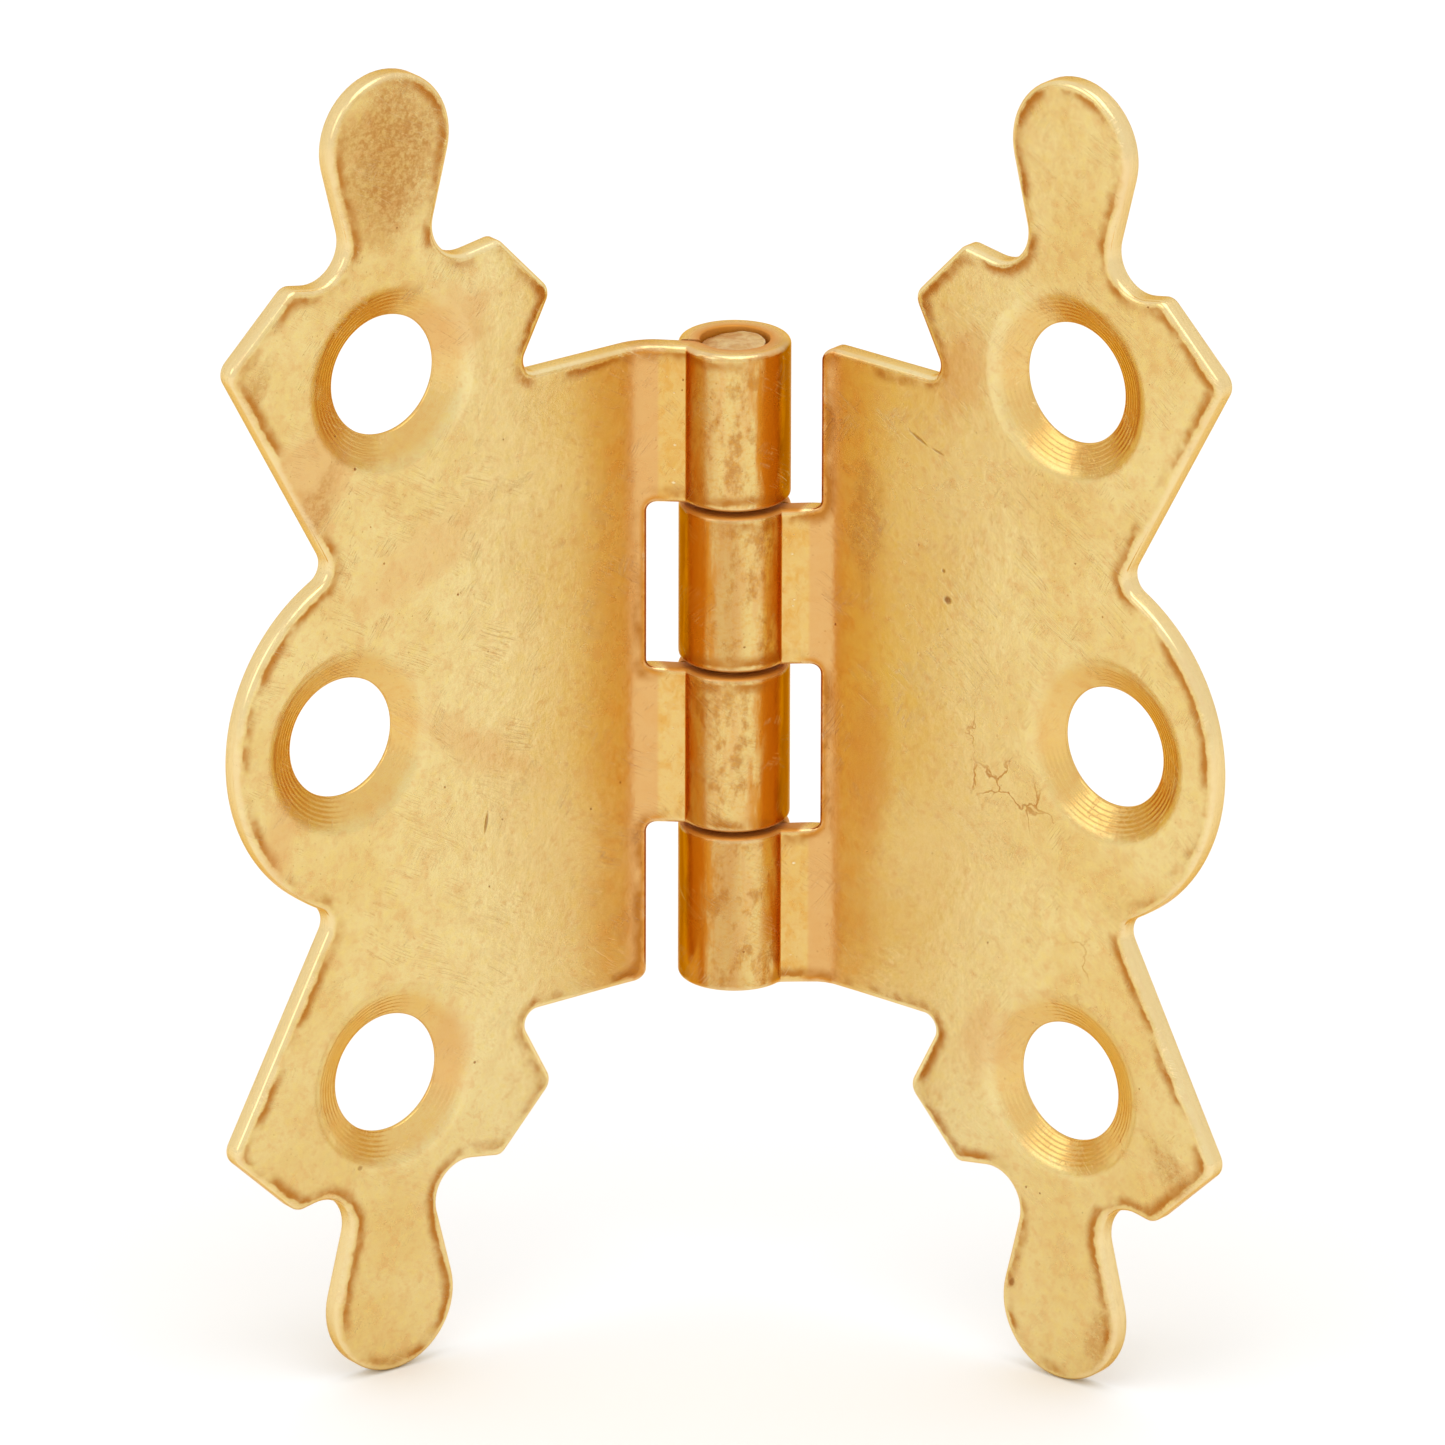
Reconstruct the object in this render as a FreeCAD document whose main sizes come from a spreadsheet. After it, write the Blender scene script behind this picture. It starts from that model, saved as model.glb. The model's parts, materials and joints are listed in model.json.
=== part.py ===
import FreeCAD, Part
import math
import os
import Sketcher
from FreeCAD import Vector

# A butterfly hinge for a cabinet door: two leaves pressed from one pattern of sheet, and a plain pin.
#
# Frame: Z runs up the pin, with the origin on the pin's axis at half its height.  The left leaf lies
# along -X with its back, the face that is screwed down, towards +Y.  The right leaf is the same
# stamping turned upside down, and stands at the rest angle to the left one.
#
# A leaf is drawn reaching along +X: its front faces -Y, its back face is level with the back of the
# barrel, and its rolled knuckles are the second and the fourth from the top.

SIZES = [
    # name, value in mm or degrees, what it is
    ("sheet", 0.8, "thickness of the pressed sheet"),
    ("barrel_radius", 2.1, "outside of a rolled knuckle"),
    ("pin_clearance", 0.05, "radial play of the pin in the knuckles"),
    ("barrel_length", 25.2, "all four knuckles, end to end"),
    ("knuckle_gap", 0.2, "axial gap between neighbouring knuckles"),
    ("strap_reach", 1.65, "from the barrel's side to where the flat plate starts"),
    ("bend_radius", 1.3, "inside radius of the bend that lifts the strap"),
    ("strap_angle", 44.0, "slope of the strap between plate and knuckle"),
    ("crease_radius", 0.12, "inside radius where strap and knuckle meet"),
    ("seam_gap", 0.1, "gap between the roll's end and the strap"),
    ("slot_clearance", 1.0, "from a knuckle to the bottom of the slot it turns in"),
    ("slot_corner", 0.35, "rounding of a slot's corners"),
    ("wing_x", 14.6, "from the pin's axis to the axis of the finials and outer holes"),
    ("root_in", 5.65, "inner notch at the foot of the wing, in from the wing's axis"),
    ("root_corner", 0.55, "its rounding"),
    ("inner_low_in", 7.25, "lower inner corner of the wing, in from its axis"),
    ("inner_low_rise", 3.05, "and above the barrel's end"),
    ("inner_low_corner", 0.6, "its rounding"),
    ("inner_high_in", 4.9, "upper inner corner of the wing, in from its axis"),
    ("inner_high_rise", 5.5, "and above the barrel's end"),
    ("inner_high_corner", 0.45, "its rounding"),
    ("neck_half_width", 1.44, "where the neck's sides meet the shoulders, from the wing's axis"),
    ("neck_rise", 4.95, "and above the barrel's end"),
    ("neck_corner", 1.4, "rounding at the foot of the neck"),
    ("finial_rise", 10.2, "centre of the finial's round end, above the barrel's end"),
    ("finial_radius", 2.7, "the finial's round end"),
    ("outer_high_out", 4.4, "upper outer corner of the wing, out from its axis"),
    ("outer_high_rise", 5.5, "and above the barrel's end"),
    ("outer_high_corner", 0.6, "its rounding"),
    ("outer_low_out", 7.3, "lower outer corner of the wing, out from its axis"),
    ("outer_low_rise", 2.75, "and above the barrel's end"),
    ("outer_low_corner", 0.65, "its rounding"),
    ("lobe_in", 0.15, "centre of the round middle lobe, in from the wing's axis"),
    ("lobe_radius", 7.2, "radius of the middle lobe"),
    ("waist_out", 2.55, "where the wing's side meets the lobe, out from the wing's axis"),
    ("waist_corner", 0.75, "rounding of the waist"),
    ("hole_radius", 2.3, "screw holes"),
    ("hole_land", 0.2, "straight wall of a screw hole, behind its countersink"),
    ("sink_width", 1.2, "width of a countersink, from the hole to the rim"),
    ("sink_edge", 0.4, "rounding of a countersink's rim"),
    ("outer_hole_rise", 1.15, "outer screw holes, above the barrel's end"),
    ("middle_hole_out", 1.95, "middle screw hole, out from the wing's axis"),
    ("front_edge", 0.22, "rounding of the leaf's front edges, left by the blanking die"),
    ("pin_recess", 0.05, "how far the pin's ends lie inside the barrel"),
    ("pin_chamfer", 0.12, "chamfer of the pin's cut ends"),
    ("rest_fold", 76.6, "how far the right leaf is folded forward from flat, at rest"),
]
KNUCKLES = 4


class Size:
    """A size: its present value, and the spreadsheet expression that gives it."""

    def __init__(self, value, text):
        self.value = value
        self.text = text

    def joined(self, other, sign, value):
        return Size(value, f"({self.text} {sign} {getattr(other, 'text', other)})")

    def __add__(self, other):
        return self.joined(other, "+", self.value + getattr(other, "value", other))

    def __sub__(self, other):
        return self.joined(other, "-", self.value - getattr(other, "value", other))

    def __mul__(self, factor):
        return self.joined(factor, "*", self.value * factor)

    def __truediv__(self, divisor):
        return self.joined(divisor, "/", self.value / divisor)

    def __neg__(self):
        return Size(-self.value, f"-({self.text})")


doc = FreeCAD.newDocument("butterfly_hinge")
sheet_of_sizes = doc.addObject("Spreadsheet::Sheet", "Sizes")
size = {}
for row, (name, number, meaning) in enumerate(SIZES, start=1):
    sheet_of_sizes.set(f"A{row}", name)
    sheet_of_sizes.set(f"B{row}", str(number))
    sheet_of_sizes.set(f"C{row}", meaning)
    sheet_of_sizes.setAlias(f"B{row}", name)
    size[name] = Size(number, f"Sizes.{name}")
doc.recompute()


def bind(thing, path, wanted):
    """Ties one property of an object to the spreadsheet."""
    thing.setExpression(path, wanted.text)


def origin_plane(body, role):
    """One of a body's own origin planes."""
    return next(plane for plane in body.Origin.OriginFeatures if plane.Role == role)


def new_sketch(body, name, role):
    sketch = body.newObject("Sketcher::SketchObject", name)
    sketch.AttachmentSupport = [(origin_plane(body, role), "")]
    sketch.MapMode = "FlatFace"
    return sketch


def hold(sketch, constraint, wanted):
    """Adds a dimension to a sketch and ties its value to the spreadsheet."""
    number = sketch.addConstraint(constraint)
    sketch.setExpression(f"Constraints[{number}]", wanted.text)


# How a sketch numbers the points of a link, its own origin and its horizontal axis.
START, END, CENTRE = 1, 2, 3
ORIGIN = (-1, 1)
X_AXIS = -1


def hold_x(sketch, geometry, end, wanted):
    hold(sketch, Sketcher.Constraint("DistanceX", *ORIGIN, geometry, end, wanted.value), wanted)


def hold_y(sketch, geometry, end, wanted):
    hold(sketch, Sketcher.Constraint("DistanceY", *ORIGIN, geometry, end, wanted.value), wanted)


def hold_radius(sketch, geometry, wanted):
    hold(sketch, Sketcher.Constraint("Radius", geometry, wanted.value), wanted)


def hold_point(sketch, x, y, lines):
    """Puts a construction point at a corner's place and makes the lines that meet there pass through it."""
    point = sketch.addGeometry(Part.Point(Vector(x.value, y.value, 0)), True)
    hold_x(sketch, point, START, x)
    hold_y(sketch, point, START, y)
    for line in lines:
        sketch.addConstraint(Sketcher.Constraint("PointOnObject", point, START, line))


class Chain:
    """A closed run of lines and arcs in a sketch, each joined to the one before it."""

    def __init__(self, sketch):
        self.sketch = sketch
        self.links = []
        self.smooth_joints = []

    def join(self, shape, entry, leave, smooth):
        geometry = self.sketch.addGeometry(shape, False)
        self.links.append((geometry, entry, leave))
        self.smooth_joints.append(smooth)
        return geometry

    def line(self, start, end, smooth=False):
        return self.join(Part.LineSegment(start, end), START, END, smooth)

    def arc(self, centre, start, end, left, smooth=True):
        """An arc about centre, turning left (anticlockwise) or right on its way from start to end."""
        circle = Part.Circle(centre, Vector(0, 0, 1), (start - centre).Length)
        first, last = (start, end) if left else (end, start)
        entry, leave = (START, END) if left else (END, START)
        shape = Part.ArcOfCircle(circle, turn(first - centre), turn(last - centre))
        return self.join(shape, entry, leave, smooth)

    def close(self):
        """Joins each link to the one before it, and the first to the last."""
        for place, smooth in enumerate(self.smooth_joints):
            before, _, leave = self.links[place - 1]
            after, entry, _ = self.links[place]
            kind = "Tangent" if smooth else "Coincident"
            self.sketch.addConstraint(Sketcher.Constraint(kind, before, leave, after, entry))


def turn(arm):
    """The angle of a vector in the sketch's plane."""
    return math.atan2(arm.y, arm.x)


def at(x, y):
    """A place in a sketch, from two sizes."""
    return Vector(x.value, y.value, 0)


def rounding(before, corner, after, radius):
    """Where an arc that rounds a corner starts, its centre and where it ends."""
    back = (before - corner).normalize()
    ahead = (after - corner).normalize()
    half = back.getAngle(ahead) / 2
    reach = radius / math.tan(half)
    centre = corner + (back + ahead).normalize() * (radius / math.sin(half))
    return corner + back * reach, centre, corner + ahead * reach


def turns_left(before, corner, after):
    return (corner - before).cross(after - corner).z > 0


def rounded_run(chain, start, corners, end, smooth=False):
    """Straight sides from start to end by way of corners: (x, y, radius), with None for a sharp one."""
    places = [start] + [at(x, y) for x, y, _ in corners] + [end]
    sides, leave = [], start
    for here, (_, _, radius) in enumerate(corners, start=1):
        before, corner, after = places[here - 1 : here + 2]
        if radius is None:
            sides.append(chain.line(leave, corner, smooth))
            leave, smooth = corner, False
            continue
        first, centre, last = rounding(before, corner, after, radius.value)
        sides.append(chain.line(leave, first, smooth))
        arc = chain.arc(centre, first, last, turns_left(before, corner, after))
        hold_radius(chain.sketch, arc, radius)
        leave, smooth = last, True
    sides.append(chain.line(leave, end, smooth))
    for here, (x, y, _) in enumerate(corners):
        hold_point(chain.sketch, x, y, sides[here : here + 2])
    return sides


def rounded_outline(sketch, corners):
    """A closed outline of straight sides, whose first corner is a sharp one."""
    chain = Chain(sketch)
    first_x, first_y, _ = corners[0]
    first = at(first_x, first_y)
    sides = rounded_run(chain, first, corners[1:], first)
    chain.close()
    hold_point(sketch, first_x, first_y, [sides[0], sides[-1]])


BARREL_END = size["barrel_length"] / 2
MIDDLE = size["barrel_length"] * 0
INSIDE_RADIUS = size["barrel_radius"] - size["sheet"]  # the bore, and how far the plate's front stands back
PLATE_START = size["barrel_radius"] + size["strap_reach"]
KNUCKLE = (size["barrel_length"] - size["knuckle_gap"] * (KNUCKLES - 1)) / KNUCKLES
PITCH = KNUCKLE + size["knuckle_gap"]
SINK_RADIUS = size["hole_radius"] + size["sink_width"]


def wing_place(out, rise):
    """A place on the wing: out from its axis, or in if negative, and above the barrel's end."""
    return size["wing_x"] + out, BARREL_END + rise


def touching_point(corner, centre, radius, left):
    """Where a side from a corner touches a circle, on the circle's left or right as the corner sees it."""
    arm = corner - centre
    swing = math.acos(radius / arm.Length)
    angle = turn(arm) + (-swing if left else swing)
    return centre + Vector(math.cos(angle), math.sin(angle), 0) * radius


def lobe_crossing():
    """Where the wing's outer side meets the lobe's circle, and the lobe's centre."""
    lobe = at(size["wing_x"] - size["lobe_in"], MIDDLE)
    crossing_x = size["wing_x"] + size["waist_out"]
    height = math.sqrt(size["lobe_radius"].value ** 2 - (crossing_x.value - lobe.x) ** 2)
    return Vector(crossing_x.value, height, 0), lobe


def waist_rounding(wing_corner):
    """The arc that rounds the waist: its start on the wing's side, its centre and its end on the lobe."""
    crossing, lobe = lobe_crossing()
    lobe_radius, radius = size["lobe_radius"].value, size["waist_corner"].value
    along = (crossing - wing_corner).normalize()
    outward = Vector(-along.y, along.x, 0)
    beside = crossing + outward * radius - lobe
    across = beside.dot(along)
    back = across + math.sqrt(across**2 - beside.dot(beside) + (lobe_radius + radius) ** 2)
    centre = lobe + beside - along * back
    return centre - outward * radius, centre, lobe + (centre - lobe).normalize() * lobe_radius


def draw_half_blank(sketch):
    """The upper half of the flat plate: wing, finial and half the middle lobe, seen from the front."""
    plate_foot = at(PLATE_START, MIDDLE)
    root_x, _ = wing_place(-size["root_in"], MIDDLE)
    inner_low = wing_place(-size["inner_low_in"], size["inner_low_rise"])
    inner_high = wing_place(-size["inner_high_in"], size["inner_high_rise"])
    neck_left = wing_place(-size["neck_half_width"], size["neck_rise"])
    neck_right = wing_place(size["neck_half_width"], size["neck_rise"])
    outer_high = wing_place(size["outer_high_out"], size["outer_high_rise"])
    outer_low = wing_place(size["outer_low_out"], size["outer_low_rise"])
    inner_side = [
        (PLATE_START, BARREL_END, None),
        (root_x, BARREL_END, size["root_corner"]),
        (*inner_low, size["inner_low_corner"]),
        (*inner_high, size["inner_high_corner"]),
        (*neck_left, size["neck_corner"]),
    ]
    outer_side = [
        (*neck_right, size["neck_corner"]),
        (*outer_high, size["outer_high_corner"]),
        (*outer_low, size["outer_low_corner"]),
    ]
    finial_place = wing_place(MIDDLE, size["finial_rise"])
    finial = at(*finial_place)
    finial_radius = size["finial_radius"].value
    round_start = touching_point(at(*neck_left), finial, finial_radius, left=True)
    round_end = touching_point(at(*neck_right), finial, finial_radius, left=False)
    waist_start, waist_centre, waist_end = waist_rounding(at(*outer_low))
    crossing, lobe = lobe_crossing()
    lobe_end = lobe + Vector(size["lobe_radius"].value, 0, 0)

    chain = Chain(sketch)
    rounded_run(chain, plate_foot, inner_side, round_start)
    finial_round = chain.arc(finial, round_start, round_end, left=False)
    sides = rounded_run(chain, round_end, outer_side, waist_start, smooth=True)
    waist_round = chain.arc(waist_centre, waist_start, waist_end, left=True)
    lobe_round = chain.arc(lobe, waist_end, lobe_end, left=False)
    middle_line = chain.line(lobe_end, plate_foot)
    chain.close()

    hold_x(sketch, finial_round, CENTRE, finial_place[0])
    hold_y(sketch, finial_round, CENTRE, finial_place[1])
    hold_radius(sketch, finial_round, size["finial_radius"])
    hold_radius(sketch, waist_round, size["waist_corner"])
    hold_radius(sketch, lobe_round, size["lobe_radius"])
    hold_x(sketch, lobe_round, CENTRE, size["wing_x"] - size["lobe_in"])
    hold_x(sketch, middle_line, END, PLATE_START)
    for link, end in ((lobe_round, CENTRE), (middle_line, START), (middle_line, END)):
        sketch.addConstraint(Sketcher.Constraint("PointOnObject", link, end, X_AXIS))
    meeting = sketch.addGeometry(Part.Point(crossing), True)
    hold_x(sketch, meeting, START, size["wing_x"] + size["waist_out"])
    for link in (sides[-1], lobe_round):
        sketch.addConstraint(Sketcher.Constraint("PointOnObject", meeting, START, link))


class RollSection:
    """Places on the section of the bend, the strap and the rolled knuckle, seen from above."""

    def __init__(self):
        slope = math.radians(size["strap_angle"].value)
        self.along = Vector(-math.cos(slope), -math.sin(slope), 0)  # down the strap, to the knuckle
        self.back = Vector(-math.sin(slope), math.cos(slope), 0)  # from the strap's front to its back
        self.bend = Vector(PLATE_START.value, INSIDE_RADIUS.value - size["bend_radius"].value, 0)
        self.front_level = self.bend.dot(self.back) + size["bend_radius"].value
        crease_level = self.front_level - size["crease_radius"].value
        crease_reach = size["barrel_radius"].value + size["crease_radius"].value
        self.crease = self.place(crease_level, crease_reach)

    def place(self, level, reach):
        """The place on a line parallel to the strap that is so far from the pin's axis, strap side."""
        return self.back * level - self.along * math.sqrt(reach**2 - level**2)


def draw_roll(sketch):
    """The sheet's section from the flat plate round the pin to the roll's end."""
    section = RollSection()
    sheet, bend_radius = size["sheet"].value, size["bend_radius"].value
    crease_radius, barrel_radius = size["crease_radius"].value, size["barrel_radius"].value
    inside_radius, start_x = INSIDE_RADIUS.value, PLATE_START.value
    pin_axis = Vector(0, 0, 0)
    front_start = Vector(start_x, inside_radius, 0)
    back_start = Vector(start_x, barrel_radius, 0)
    toward_crease = Vector(section.crease).normalize()
    end_level = section.front_level + sheet + size["seam_gap"].value
    roll_end = section.place(end_level, barrel_radius)
    roll_end_inside = section.place(end_level, inside_radius)
    bend_front = section.bend + section.back * bend_radius
    bend_back = section.bend + section.back * (bend_radius + sheet)
    crease_front = section.crease + section.back * crease_radius
    crease_back = section.crease + section.back * (crease_radius + sheet)
    knuckle_start = toward_crease * barrel_radius
    bore_start = toward_crease * inside_radius

    chain = Chain(sketch)
    closing = chain.line(back_start, front_start)
    bend = chain.arc(section.bend, front_start, bend_front, left=True, smooth=False)
    strap = chain.line(bend_front, crease_front, smooth=True)
    crease = chain.arc(section.crease, crease_front, knuckle_start, left=True)
    knuckle = chain.arc(pin_axis, knuckle_start, roll_end, left=False)
    end_face = chain.line(roll_end, roll_end_inside)
    bore = chain.arc(pin_axis, roll_end_inside, bore_start, left=True, smooth=False)
    crease_inside = chain.arc(section.crease, bore_start, crease_back, left=False)
    strap_back = chain.line(crease_back, bend_back, smooth=True)
    bend_outside = chain.arc(section.bend, bend_back, back_start, left=False)
    chain.close()

    sketch.addConstraint(Sketcher.Constraint("Vertical", closing))
    hold_x(sketch, closing, START, PLATE_START)
    hold_y(sketch, closing, START, size["barrel_radius"])
    hold_y(sketch, closing, END, INSIDE_RADIUS)
    hold_x(sketch, bend, CENTRE, PLATE_START)
    for outside, inside in ((bend, bend_outside), (crease, crease_inside)):
        sketch.addConstraint(Sketcher.Constraint("Coincident", outside, CENTRE, inside, CENTRE))
    for ring in (knuckle, bore):
        sketch.addConstraint(Sketcher.Constraint("Coincident", ring, CENTRE, *ORIGIN))
    hold_radius(sketch, bend, size["bend_radius"])
    hold_radius(sketch, crease, size["crease_radius"])
    hold_radius(sketch, knuckle, size["barrel_radius"])
    hold_radius(sketch, bore, INSIDE_RADIUS)
    slope = size["strap_angle"]
    in_degrees = Size(slope.value, f"{slope.text} * 1 deg")
    hold(sketch, Sketcher.Constraint("Angle", strap_back, math.radians(slope.value)), in_degrees)
    sketch.addConstraint(Sketcher.Constraint("Parallel", end_face, strap_back))
    gap = size["seam_gap"]
    hold(sketch, Sketcher.Constraint("Distance", end_face, START, strap_back, gap.value), gap)


def slot_outlines():
    """The two openings that the other leaf's knuckles turn in: one open at the top, one closed."""
    far_side = -(size["barrel_radius"] * 2)
    edge, corner = size["barrel_radius"] + size["slot_clearance"], size["slot_corner"]
    past_end = BARREL_END + size["sheet"]
    past_corner = edge + corner * 2
    first_top = BARREL_END - PITCH
    second_top = first_top - KNUCKLE
    second_bottom = BARREL_END - PITCH * 3
    end_slot = [
        (far_side, first_top, None),
        (edge, first_top, corner),
        (edge, BARREL_END, corner),
        (past_corner, BARREL_END, None),
        (past_corner, past_end, None),
        (far_side, past_end, None),
    ]
    middle_slot = [
        (far_side, second_bottom, None),
        (edge, second_bottom, corner),
        (edge, second_top, corner),
        (far_side, second_top, None),
    ]
    return {"end_slot": end_slot, "middle_slot": middle_slot}


def must_shrink(body, before, feature):
    """Stops the build if a cut removed nothing."""
    if not before - body.Shape.Volume > 1e-6:
        raise RuntimeError(f"{feature.Label} cut nothing")


def cut_through(body, name, sketch):
    """Cuts a sketch right through the body, both ways from its plane."""
    before = body.Shape.Volume
    cut = body.newObject("PartDesign::Pocket", name)
    cut.Profile = sketch
    cut.Type = "ThroughAll"
    cut.SideType = "Symmetric"
    doc.recompute()
    must_shrink(body, before, cut)
    return cut


def on_front(face, section):
    """Whether a face is part of the sheet's front, the outside of the bend and of the roll."""
    low_u, high_u, low_v, high_v = face.ParameterRange
    place = face.valueAt((low_u + high_u) / 2, (low_v + high_v) / 2)
    flat = Vector(place.x, place.y, 0)
    misses = [abs(flat.Length - size["barrel_radius"].value)]
    if place.x >= PLATE_START.value:
        misses = [abs(place.y - INSIDE_RADIUS.value)]
    elif place.x > section.crease.x - size["crease_radius"].value:
        misses.append(abs((flat - section.bend).Length - size["bend_radius"].value))
        misses.append(abs((flat - section.crease).Length - size["crease_radius"].value))
        misses.append(abs(flat.dot(section.back) - section.front_level))
    return min(misses) < 1e-4


def front_rim(shape):
    """The edges all round the sheet's front, except the end of the roll, which is under the strap."""
    section = RollSection()
    names = []
    for number, edge in enumerate(shape.Edges, start=1):
        sides = [on_front(face, section) for face in shape.ancestorsOfType(edge, Part.Face)]
        middle = edge.valueAt((edge.FirstParameter + edge.LastParameter) / 2)
        upright = abs(edge.BoundBox.XLength) + abs(edge.BoundBox.YLength) < 1e-6
        at_roll_end = upright and middle.y > 0 and middle.x < size["barrel_radius"].value
        if sides.count(True) == 1 and not at_roll_end:
            names.append(f"Edge{number}")
    return names


def circles(shape, radius, level):
    """The round edges of one radius at one depth in the plate."""
    names = []
    for number, edge in enumerate(shape.Edges, start=1):
        if isinstance(edge.Curve, Part.Circle) and abs(edge.Curve.Radius - radius) < 1e-5:
            if abs(edge.Curve.Axis.y) > 0.999 and abs(edge.Curve.Center.y - level) < 1e-5:
                names.append(f"Edge{number}")
    return names


def dress(body, kind, name, edges, **sizes):
    """A fillet or a chamfer on named edges of the body as it stands."""
    base = body.Tip
    feature = body.newObject(kind, name)
    feature.Base = (base, edges)
    for prop, wanted in sizes.items():
        bind(feature, prop, wanted)
    return feature


def make_leaf(label):
    """One stamping, drawn reaching along +X."""
    body = doc.addObject("PartDesign::Body", label)
    body.Label = label

    blank = new_sketch(body, f"{label}_blank", "XZ_Plane")
    bind(blank, "AttachmentOffset.Base.z", -size["barrel_radius"])
    draw_half_blank(blank)
    plate = body.newObject("PartDesign::Pad", f"{label}_plate")
    plate.Profile = blank
    bind(plate, "Length", size["sheet"])
    doc.recompute()

    mirrored = body.newObject("PartDesign::Mirrored", f"{label}_whole_plate")
    mirrored.Originals = [plate]
    mirrored.MirrorPlane = (origin_plane(body, "XY_Plane"), [""])
    body.Tip = mirrored
    doc.recompute()

    roll_section = new_sketch(body, f"{label}_roll_section", "XY_Plane")
    draw_roll(roll_section)
    roll = body.newObject("PartDesign::Pad", f"{label}_roll")
    roll.Profile = roll_section
    roll.SideType = "Symmetric"
    bind(roll, "Length", size["barrel_length"])
    doc.recompute()

    for name, outline in slot_outlines().items():
        slot = new_sketch(body, f"{label}_{name}_outline", "XZ_Plane")
        rounded_outline(slot, outline)
        cut_through(body, f"{label}_{name}", slot)

    dress(body, "PartDesign::Fillet", f"{label}_die_roll", front_rim(body.Shape), Radius=size["front_edge"])
    doc.recompute()

    holes = new_sketch(body, f"{label}_hole_circles", "XZ_Plane")
    outer_x, outer_z = wing_place(MIDDLE, size["outer_hole_rise"])
    middle_x = size["wing_x"] + size["middle_hole_out"]
    centres = [(outer_x, outer_z), (middle_x, MIDDLE), (outer_x, -outer_z)]
    for x, z in centres:
        ring = holes.addGeometry(Part.Circle(at(x, z), Vector(0, 0, 1), size["hole_radius"].value), False)
        hold_radius(holes, ring, size["hole_radius"])
        hold_x(holes, ring, CENTRE, x)
        hold_y(holes, ring, CENTRE, z)
    cut_through(body, f"{label}_screw_holes", holes)

    before = body.Shape.Volume
    rims = circles(body.Shape, size["hole_radius"].value, INSIDE_RADIUS.value)
    sink_depth = size["sheet"] - size["hole_land"]
    sinks = dress(
        body,
        "PartDesign::Chamfer",
        f"{label}_countersinks",
        rims,
        Size=size["sink_width"],
        Size2=sink_depth,
    )
    sinks.ChamferType = "Two distances"
    doc.recompute()
    must_shrink(body, before, sinks)
    wide_rims = circles(body.Shape, SINK_RADIUS.value, INSIDE_RADIUS.value)
    if len(wide_rims) != len(centres):
        raise RuntimeError("a countersink has the wrong rim")
    dress(body, "PartDesign::Fillet", f"{label}_soft_rims", wide_rims, Radius=size["sink_edge"])
    doc.recompute()
    return body


def make_pin():
    """The plain pin, cut a little shorter than the barrel, with chamfered ends."""
    body = doc.addObject("PartDesign::Body", "hinge_pin")
    body.Label = "hinge_pin"
    radius = INSIDE_RADIUS - size["pin_clearance"]
    circle = new_sketch(body, "pin_circle", "XY_Plane")
    ring = circle.addGeometry(Part.Circle(Vector(0, 0, 0), Vector(0, 0, 1), radius.value), False)
    circle.addConstraint(Sketcher.Constraint("Coincident", ring, CENTRE, *ORIGIN))
    hold_radius(circle, ring, radius)
    rod = body.newObject("PartDesign::Pad", "pin_rod")
    rod.Profile = circle
    rod.SideType = "Symmetric"
    bind(rod, "Length", size["barrel_length"] - size["pin_recess"] * 2)
    doc.recompute()
    ends = [f"Edge{number}" for number, edge in enumerate(rod.Shape.Edges, start=1) if edge.isClosed()]
    dress(body, "PartDesign::Chamfer", "pin_ends", ends, Size=size["pin_chamfer"])
    doc.recompute()
    return body


def main():
    left = make_leaf("left_leaf")
    right = make_leaf("right_leaf")
    pin = make_pin()
    left.Placement = FreeCAD.Placement(Vector(0, 0, 0), FreeCAD.Rotation(Vector(0, 1, 0), 180))
    fold = size["rest_fold"]
    forward = Vector(0, 0, -1)
    right.Placement = FreeCAD.Placement(Vector(0, 0, 0), FreeCAD.Rotation(forward, fold.value))
    right.setExpression("Placement.Rotation.Angle", f"{fold.text} * 1 deg")
    doc.recompute()
    return [left, right, pin]


def check(bodies):
    """Stops the build if any object failed or any sub-part isn't one valid solid."""
    for thing in doc.Objects:
        if "Invalid" in thing.State or "Error" in thing.State:
            raise RuntimeError(f"{thing.Label} failed: {thing.State}")
    for body in bodies:
        shape = body.Shape
        if shape.isNull() or not shape.isValid() or len(shape.Solids) != 1:
            raise RuntimeError(f"{body.Label} isn't one valid solid")


def write(bodies):
    os.makedirs("parts", exist_ok=True)
    for body in bodies:
        body.Shape.exportStep(os.path.join("parts", f"{body.Label}.step"))
        print(f"{body.Label}: {body.Shape.Volume:.1f} mm3")


pieces = main()
check(pieces)
write(pieces)
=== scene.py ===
"""Looks of a small butterfly hinge: two stamped and rolled leaves of plated sheet on one wire pin.

Sizes inside the classes are in millimetres, as on a workshop drawing, in a leaf's own drawing
frame: x runs from the pin's axis out over the plate, y from the front face to the back, z up
along the barrel. Meshes are handed to Blender in metres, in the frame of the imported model.
"""

import json
import logging
import math
from dataclasses import dataclass, field
from enum import Enum

import bmesh
import bpy
import numpy as np
from mathutils import Matrix, Vector, noise
from mathutils.geometry import delaunay_2d_cdt


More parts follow.
